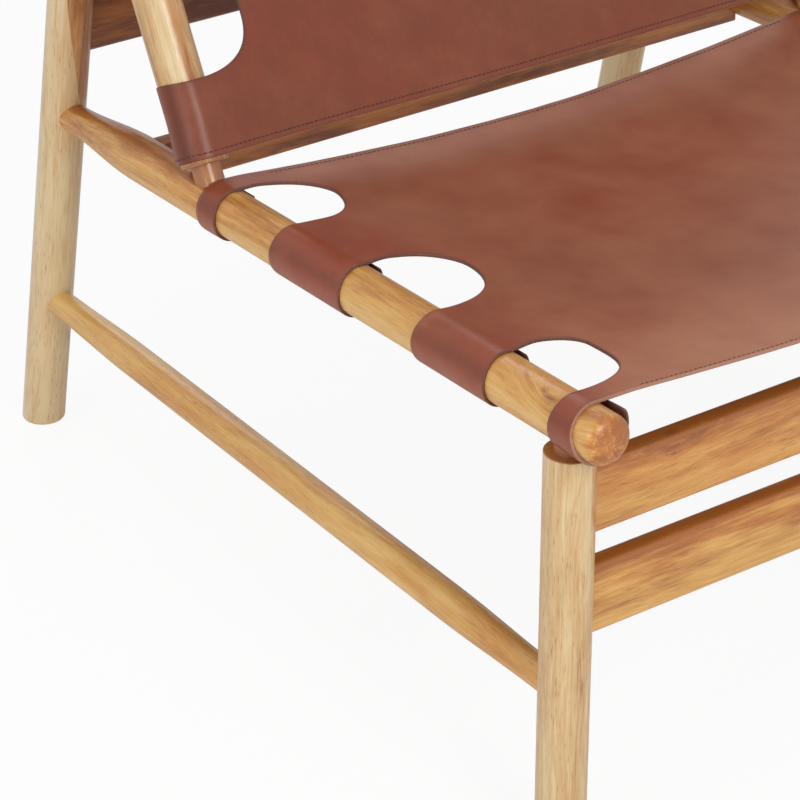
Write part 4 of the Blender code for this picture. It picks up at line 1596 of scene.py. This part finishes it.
@dataclass
class Woodwork:
    """The round bars and flat boards of the frame."""

    foot: float = 0.0015
    foot_round: float = 0.003
    leg_round: float = 0.0011
    shoulder_round: float = 0.0012
    rail_dome: float = 0.0092
    post_dome: float = 0.0085
    dome_powers: Pair = (0.72, 1.1)
    blank_end: float = -0.04
    taper: float = 0.115
    thin_taper: float = 0.130
    past_axis: float = 0.005
    board: Pair = (0.020, 0.060)
    board_round: float = 0.006
    board_inset: float = 0.004
    cross_rail_gap: float = 0.024
    cross_rail_round: float = 0.003
    board_top_drop: float = 0.014
    board_gap: float = 0.028
    rear_board: Pair = (0.070, 0.416)
    cross_rail: Triple = (0.040, 0.590, 0.0037)
    top_bar_station: float = 0.48126
    post_top: float = 0.51126
    leg_top: float = 0.35348

    def build(self) -> None:
        """Make every wooden piece."""
        for name, sign in SIDES.items():
            for bar in self.side_frame(name, sign * LAYOUT.half_span, int(sign)):
                bar.build()
        for board in self.boards():
            board.build()
        self.top_bar().build()

    def side_frame(self, name: str, across: float, sign: int) -> list[TurnedBar]:
        """The five bars of one side frame."""
        makers = {
            "front_leg": self.front_leg, "rear_leg": self.rear_leg,
            "seat_rail": self.seat_rail, "back_post": self.back_post,
            "side_stretcher": self.stretcher,
        }
        return [make(f"{kind}_{name}", across, sign) for kind, make in makers.items()]

    def front_leg(self, name: str, across: float, sign: int) -> TurnedBar:
        """Upright front leg with a flat top and a tenon that enters the seat rail."""
        radius, tenon = LAYOUT.bar_radius, LAYOUT.tenon_radius
        outline = Profile(0.0, self.foot)
        outline.corner(radius, self.foot, self.foot_round, True)
        outline.to(radius, 0.08, 0.16, 0.24, 0.32)
        outline.corner(radius, self.leg_top, -self.leg_round, False, 3)
        end = LAYOUT.rail.start[1] + self.past_axis
        outline.to(tenon, self.leg_top).to(tenon, end).to(0.0, end)
        zones = (
            # Top face: darker end grain, with painted shade under the leather loop.
            Zone(UPWARD, self.leg_top - self.leg_round, self.leg_top - 0.0003, 1.10),
            Zone(REAR_SIDE, 0.0148, 0.0162, 0.34, self.leg_top - 0.066),
        )
        return TurnedBar(
            name, LAYOUT.leg.matrix(across), outline, Timber.PALE,
            Cut(11 + sign, -0.02, zones=zones),
        )

    def rear_leg(self, name: str, across: float, sign: int) -> TurnedBar:
        """Leaning rear leg with a tapered top, cut level at the foot."""
        outline = Profile(0.0, self.blank_end).to(LAYOUT.bar_radius, self.blank_end)
        outline.to(LAYOUT.bar_radius, 0.08, 0.18, 0.28, 0.36)
        self.taper_off(outline, LAYOUT.rear_leg, LAYOUT.post)
        heart = (Zone((0.82, -0.57, 0.153), 0.0712, 0.0724, 0.60, 0.366),)
        # The paler tone stands in partly for light falling on the leg's right side.
        return TurnedBar(
            name, LAYOUT.rear_leg.matrix(across), outline, Timber.PALE,
            Cut(23 + sign, -0.24, 0.12 + 0.12 * sign, zones=heart), level=self.foot,
        )

    def seat_rail(self, name: str, across: float, sign: int) -> TurnedBar:
        """Seat rail with a domed front end and a cigar-shaped rear end."""
        tip = LAYOUT.rail_overhang
        outline = Profile(0.0, -tip)
        self.dome(outline, -tip, self.rail_dome)
        outline.to(LAYOUT.bar_radius, 0.05, 0.15, 0.25, 0.35, 0.45)
        self.taper_off(outline, LAYOUT.rail, LAYOUT.rear_leg)
        knots = (
            Knot((0.011, 0.0006, -0.046), 0.0052), Knot((0.004, 0.0085, -0.047), 0.0046),
            Knot((-0.0128, -0.0154, 0.0093), 0.0064), Knot((-0.0088, -0.0180, 0.0194), 0.0036),
            Knot((-0.0173, -0.0101, -0.0036), 0.0036), Knot((-0.012, -0.016, 0.150), 0.0024),
        )
        zones = (
            Zone(DOWNWARD, tip - 0.010, tip - 0.002, 0.40),
            # Painted shade on the rail's upper side and painted light on its lower side.
            Zone(NEAR_SIDE, -0.006, 0.012, 0.10),
            Zone((-0.68, 0.73, 0.0), 0.011, 0.017, -0.16),
            Zone(UPWARD, 0.03, -0.03, 0.12),
            Zone(UPWARD, 0.2, 0.44, 0.12),
            # Painted shade on the upper side of the rail's rear end.
            Zone(NEAR_SIDE, 0.001, 0.007, 0.34, 0.455),
        )
        # The far rail's darker tone is painted shade under the leather over it.
        return TurnedBar(
            name, LAYOUT.rail.matrix(across), outline, Timber.WARM,
            Cut(37 + sign, 0.07 + 0.13 * sign, 0.1, knots, zones),
        )

    def back_post(self, name: str, across: float, sign: int) -> TurnedBar:
        """Leaning back post with a shoulder and a turned tenon at its foot."""
        radius, tenon, shoulder = LAYOUT.bar_radius, LAYOUT.tenon_radius, LAYOUT.post_shoulder
        outline = Profile(0.0, -self.past_axis).to(tenon, -self.past_axis)
        outline.to(tenon, shoulder).corner(radius, shoulder, self.shoulder_round, True, 3)
        outline.to(radius, 0.12, 0.22, 0.32, 0.42)
        self.dome(outline, self.post_top, -self.post_dome)
        zones = (
            Zone(REAR_SIDE, 0.004, 0.011, 0.42),
            Zone(DOWNWARD, -shoulder - 0.0050, -shoulder - 0.0012, 0.95),
        )
        return TurnedBar(
            name, LAYOUT.post.matrix(across), outline, Timber.PALE,
            Cut(41 + sign, 0.04, 0.1, zones=zones),
        )

    def stretcher(self, name: str, across: float, sign: int) -> TurnedBar:
        """Level side stretcher, thinner at both ends."""
        end = LAYOUT.stretcher.meets(LAYOUT.rear_leg)
        last = end - self.bare_reach(LAYOUT.tenon_radius, LAYOUT.stretcher, LAYOUT.rear_leg)
        outline = self.thin_bar(0.0, LAYOUT.bar_radius, last, end)
        front = (Zone(DOWNWARD, -0.30, -0.12, 0.16),)
        return TurnedBar(
            name, LAYOUT.stretcher.matrix(across), outline, Timber.WARM,
            Cut(59 + sign, -0.20, zones=front),
        )

    def top_bar(self) -> TurnedBar:
        """Bar between the back posts above the leather."""
        span = LAYOUT.half_span
        turn = Matrix.Rotation(math.pi / 2, 4, "Y")
        outline = self.thin_bar(-span, LAYOUT.bar_radius - span, span - LAYOUT.bar_radius, span)
        return TurnedBar(
            "back_top_bar", LAYOUT.post.matrix(along=self.top_bar_station) @ turn, outline,
            Timber.WARM, Cut(71, 0.05),
        )

    def taper_off(self, outline: Profile, bar: Axis, other: Axis) -> None:
        """Taper a bar down to the tenon that ends it inside another bar."""
        meet = bar.meets(other)
        bare = meet - self.bare_reach(LAYOUT.bar_tenon_radius, bar, other)
        outline.to(LAYOUT.bar_radius, bare - self.taper)
        outline.sweep(LAYOUT.bar_tenon_radius, bare)
        outline.to(LAYOUT.bar_tenon_radius, meet + self.past_axis)
        outline.to(0.0, meet + self.past_axis)

    def thin_bar(self, start: float, first: float, last: float, end: float) -> Profile:
        """Outline of a slim bar whose bare part runs from first to last."""
        tenon = LAYOUT.tenon_radius
        outline = Profile(0.0, start - self.past_axis).to(tenon, start - self.past_axis)
        outline.to(tenon, first).sweep(LAYOUT.thin_radius, first + self.thin_taper)
        low, high = first + self.thin_taper, last - self.thin_taper
        stations = [low + (high - low) * share for share in (0.25, 0.5, 0.75)]
        outline.to(LAYOUT.thin_radius, *stations, high).sweep(tenon, last)
        return outline.to(tenon, end + self.past_axis).to(0.0, end + self.past_axis)

    @staticmethod
    def bare_reach(tenon: float, bar: Axis, other: Axis) -> float:
        """Distance from a joint's centre to where a bar leaves the other bar's side."""
        turn = abs(math.sin(bar.angle - other.angle))
        angle = math.asin(turn)
        return LAYOUT.bar_radius / math.sin(angle) + tenon / math.tan(angle)

    def dome(self, outline: Profile, tip: float, length: float, steps: int = 12) -> None:
        """Rounded end; a negative length ends a bar, a positive one starts it."""
        points = []
        fullness, pitch = self.dome_powers
        for step in range(steps + 1):
            angle = math.pi / 2 * step / steps
            radius = LAYOUT.bar_radius * math.sin(angle) ** fullness
            points.append((radius, tip + length * (1 - math.cos(angle)) ** pitch))
        if length < 0:
            points.reverse()
        for radius, station in points:
            if outline.points[-1] != (radius, station):
                outline.to(radius, station)

    def boards(self) -> list[Board]:
        """The flat boards across the chair."""
        thick, high = self.board
        length = 2 * (LAYOUT.half_span - self.board_inset)
        top = self.leg_top - self.board_top_drop
        found = []
        knots = (Knot((0.0158, -0.010, -0.237), 0.0018), Knot((0.030, -0.004, -0.235), 0.005))
        shaded = (
            Zone((1.0, 0.0, 0.0), high / 2 - 0.0055, high / 2 - 0.0015, 0.42),
            Zone((1.0, 0.0, 0.0), -0.01, high / 2, 0.24),
        )
        cuts = {
            "front_rail_upper": Cut(83, 0.08, 0.1, knots, shaded),
            "front_rail_lower": Cut(88, 0.05, 0.05, zones=shaded),
        }
        for name, cut in cuts.items():
            found.append(Board(
                name, LAYOUT.leg.matrix(along=top - high / 2), length, thick, high,
                self.board_round, cut,
            ))
            top -= high + self.board_gap
        rear_high, rise = self.rear_board
        # The rear rail's dark tone is partly darker wood and partly painted shade under the
        # back leather.
        found.append(Board(
            "rear_rail", LAYOUT.rear_leg.matrix(along=rise + rear_high / 2), length, thick,
            rear_high, self.board_round, Cut(97, 0.70, 0.1),
        ))
        high, setback, drop = self.cross_rail
        station = setback / math.cos(LAYOUT.rail_slope)
        place = LAYOUT.rail.matrix(along=station) @ Matrix.Translation((0.0, drop, 0.0))
        place = place @ Matrix.Rotation(math.pi / 2, 4, "X")
        # The cross rail's dark tone is partly darker wood and partly painted shade under the
        # back leather.
        found.append(Board(
            "seat_cross_rail", place, 2 * LAYOUT.half_span - self.cross_rail_gap, thick, high,
            self.cross_rail_round,
            Cut(101, 0.50, 0.3, (Knot((0.008, 0.010, -0.262), 0.0018),)),
        ))
        return found


SEAT_GAPS = (
    Gap(-0.0026, 0.0885, 0.0662, 0.0655, (1.8, 4.2), (4.6, 1.7), (0.0, 0.009), 0.040,
        flap_spread=0.0062),
    Gap(0.1684, 0.2785, 0.0828, 0.2420, (1.95, 2.2), (4.6, 1.6), (-0.0013, 0.009), 0.036,
        flap_spread=0.0070),
    Gap(0.3665, 0.4563, 0.0781, 0.4190, (3.6, 1.5), (3.4, 1.8), (-0.0026, 0.0058), 0.029,
        flap_spread=0.002, right_reach=0.063),
)
SEAT_FRONT = EdgeLine((
    (-0.110, -0.0036), (-0.080, 0.0), (-0.058, 0.0), (-0.0405, 0.003), (-0.0255, 0.007),
    (0.0, 0.0105), (0.020, 0.0125), (0.045, 0.0145), (0.10, 0.0145), (0.20, 0.0125),
    (0.33, 0.012),
))
SEAT_REAR = EdgeLine((
    (-0.02, 0.0010), (0.0, 0.0010), (0.013, 0.0038), (0.032, 0.0062), (0.12, 0.0078),
    (0.22, 0.0074), (0.33, 0.0062),
))
SEAT = Sling(
    "seat_sling", LAYOUT.rail, -0.034, 0.47396, (0.012, 0.029, 0.022), SEAT_GAPS,
    SEAT_FRONT, SEAT_REAR, (0.90, 0.508), ("seat_rail_left", "seat_rail_right"),
    tone=-0.10, worn_and_sheen=0.86, sewn_from=0.15,
)
BACK = Sling(
    "back_sling", LAYOUT.post, 0.038, 0.45826, (0.010, 0.022, 0.014),
    (Gap(0.1026, 0.193, 0.0636, 0.148), Gap(0.30326, 0.39326, 0.0636, 0.348)),
    EdgeLine(((-0.03, 0.0), (0.0, -0.0008), (0.08, -0.0004), (0.33, -0.002))),
    EdgeLine(((-0.04, 0.0), (0.33, 0.0))),
    (0.90, 0.420), ("back_post_left", "back_post_right"),
    tone=0.42, worn_and_sheen=-1.0, seed=2, thinning=(0.0017, 0.0007),
)
SEAT_SCREWS = (-0.023, 0.10075, 0.14625, 0.29175, 0.33725, 0.45596)
BACK_SCREWS = (0.0705, 0.2206, 0.2757, 0.42576)


def build_leather() -> None:
    """Make both slings with their stitches, and the screws."""
    sewing, screws = Stitching(), Screws()
    thread = Scatter("stitch_scatter", sewing.template(), THREAD.make("thread"))
    for number, sling in enumerate((SEAT, BACK)):
        piece = sling.build()
        stitches = sewing.build(thread, sling, (sling.start, sling.end), 5 + number)
        sling.declare(piece, stitches)
    thread.close()
    places = screws.places(SEAT, SEAT_SCREWS) + screws.places(BACK, BACK_SCREWS)
    metal = Scatter("screw_scatter", screws.template(), STEEL.make("zinc_plate"))
    mesh = metal.place("sling_screws", places, 1.0, 0.0, 3)
    metal.close()
    nodes = [f"seat_screw_{side}_{number}" for side in SIDES for number in range(1, 7)]
    nodes += [f"back_screw_{side}_{number}" for side in SIDES for number in range(1, 5)]
    add_piece(mesh, tuple(nodes))


def build_glides() -> None:
    """Make the four glides."""
    glides = Glides()
    feet = Scatter("glide_scatter", glides.template(), NYLON.make("nylon"))
    places = []
    for setback in (LAYOUT.leg.start[0], LAYOUT.rear_leg.start[0]):
        for side in SIDES.values():
            point = Vector((side * LAYOUT.half_span, setback + LAYOUT.origin_y, 0.0))
            places.append((point, Vector((1, 0, 0)), Vector((0, 0, 1))))
    mesh = feet.place("glides", places)
    feet.close()
    nodes = [f"glide_{end}_{side}" for end in ("front", "rear") for side in SIDES]
    add_piece(mesh, tuple(nodes))


@dataclass
class Studio:
    """White floor and surroundings, the lamps and the camera."""

    floor_size: float = 14.0
    shadow_tone: float = 0.90
    sky_share: float = 0.50
    camera_place: Triple = (-1.5743, -1.9737, 1.5394)
    camera_turn: Triple = (60.3001, 0.0, -35.0034)
    lens: float = 146.365
    shift: Pair = (-0.01613, 0.00614)
    aim: Triple = (0.0, 0.0, 0.35)
    white: Colour = (1.0, 1.0, 1.0, 1.0)

    def build(self) -> None:
        """Set up the floor, light and camera."""
        self._world()
        self._floor()
        for name, place, energy, size in (
            ("key", (-0.5, -3.2, 2.2), 52.0, 1.4),
            ("fill", (-3.0, -0.6, 2.0), 28.0, 2.0),
            ("back", (0.9, 2.6, 2.2), 11.0, 1.2),
        ):
            self._lamp(name, place, energy, size)
        self._camera()

    def _world(self) -> None:
        """White surroundings that light the chair softly and show white in reflections."""
        world = bpy.data.worlds.new("studio")
        world.use_nodes = True
        tree = world.node_tree
        background = tree.nodes["Background"]
        background.inputs["Color"].default_value = self.white
        path = tree.nodes.new("ShaderNodeLightPath")
        strength = tree.nodes.new("ShaderNodeMapRange")
        strength.inputs["To Min"].default_value = 1.0
        strength.inputs["To Max"].default_value = self.sky_share
        tree.links.new(path.outputs["Is Diffuse Ray"], strength.inputs["Value"])
        tree.links.new(strength.outputs["Result"], background.inputs["Strength"])
        bpy.context.scene.world = world
        bpy.context.scene.view_settings.view_transform = "Standard"

    def _floor(self) -> None:
        """Floor that looks white and keeps a faint shadow."""
        half = self.floor_size / 2
        mesh = bpy.data.meshes.new("floor")
        corners = [(-half, -half, 0), (half, -half, 0), (half, half, 0), (-half, half, 0)]
        mesh.from_pydata(corners, [], [(0, 1, 2, 3)])
        graph = Graph("studio_floor")
        path = graph.node("ShaderNodeLightPath", None, "Is Camera Ray")
        matt = graph.node("ShaderNodeBsdfDiffuse", None, 0, Color=self.white)
        glow = graph.node("ShaderNodeEmission", None, 0, Color=self.white, Strength=1.0)
        share = path * self.shadow_tone
        mixed = graph.node("ShaderNodeMixShader", None, 0, _0=share, _1=matt, _2=glow)
        mesh.materials.append(graph.finish(mixed))
        new_object("floor", mesh)

    def _lamp(self, name: str, place: Triple, energy: float, size: float) -> None:
        """Soft square lamp aimed at the seat."""
        data = bpy.data.lights.new(name, "AREA")
        data.energy = energy
        data.size = size
        lamp = new_object(name, data)
        lamp.location = place
        aim = Vector(self.aim) - Vector(place)
        lamp.rotation_euler = aim.to_track_quat("-Z", "Y").to_euler()

    def _camera(self) -> None:
        """Camera at the photograph's place."""
        data = bpy.data.cameras.new("camera")
        data.lens = self.lens
        data.sensor_width = 36.0
        data.shift_x, data.shift_y = self.shift
        camera = new_object("camera", data)
        camera.location = self.camera_place
        camera.rotation_euler = [math.radians(angle) for angle in self.camera_turn]
        bpy.context.scene.camera = camera


def main() -> None:
    """Build the chair piece by piece and set up the picture."""
    logging.basicConfig(level=logging.INFO, format="%(name)s: %(message)s")
    LOG.info("woodwork")
    Woodwork().build()
    LOG.info("leather, stitches and screws")
    build_leather()
    LOG.info("glides")
    build_glides()
    LOG.info("studio")
    Studio().build()


if __name__ == "__main__":
    main()
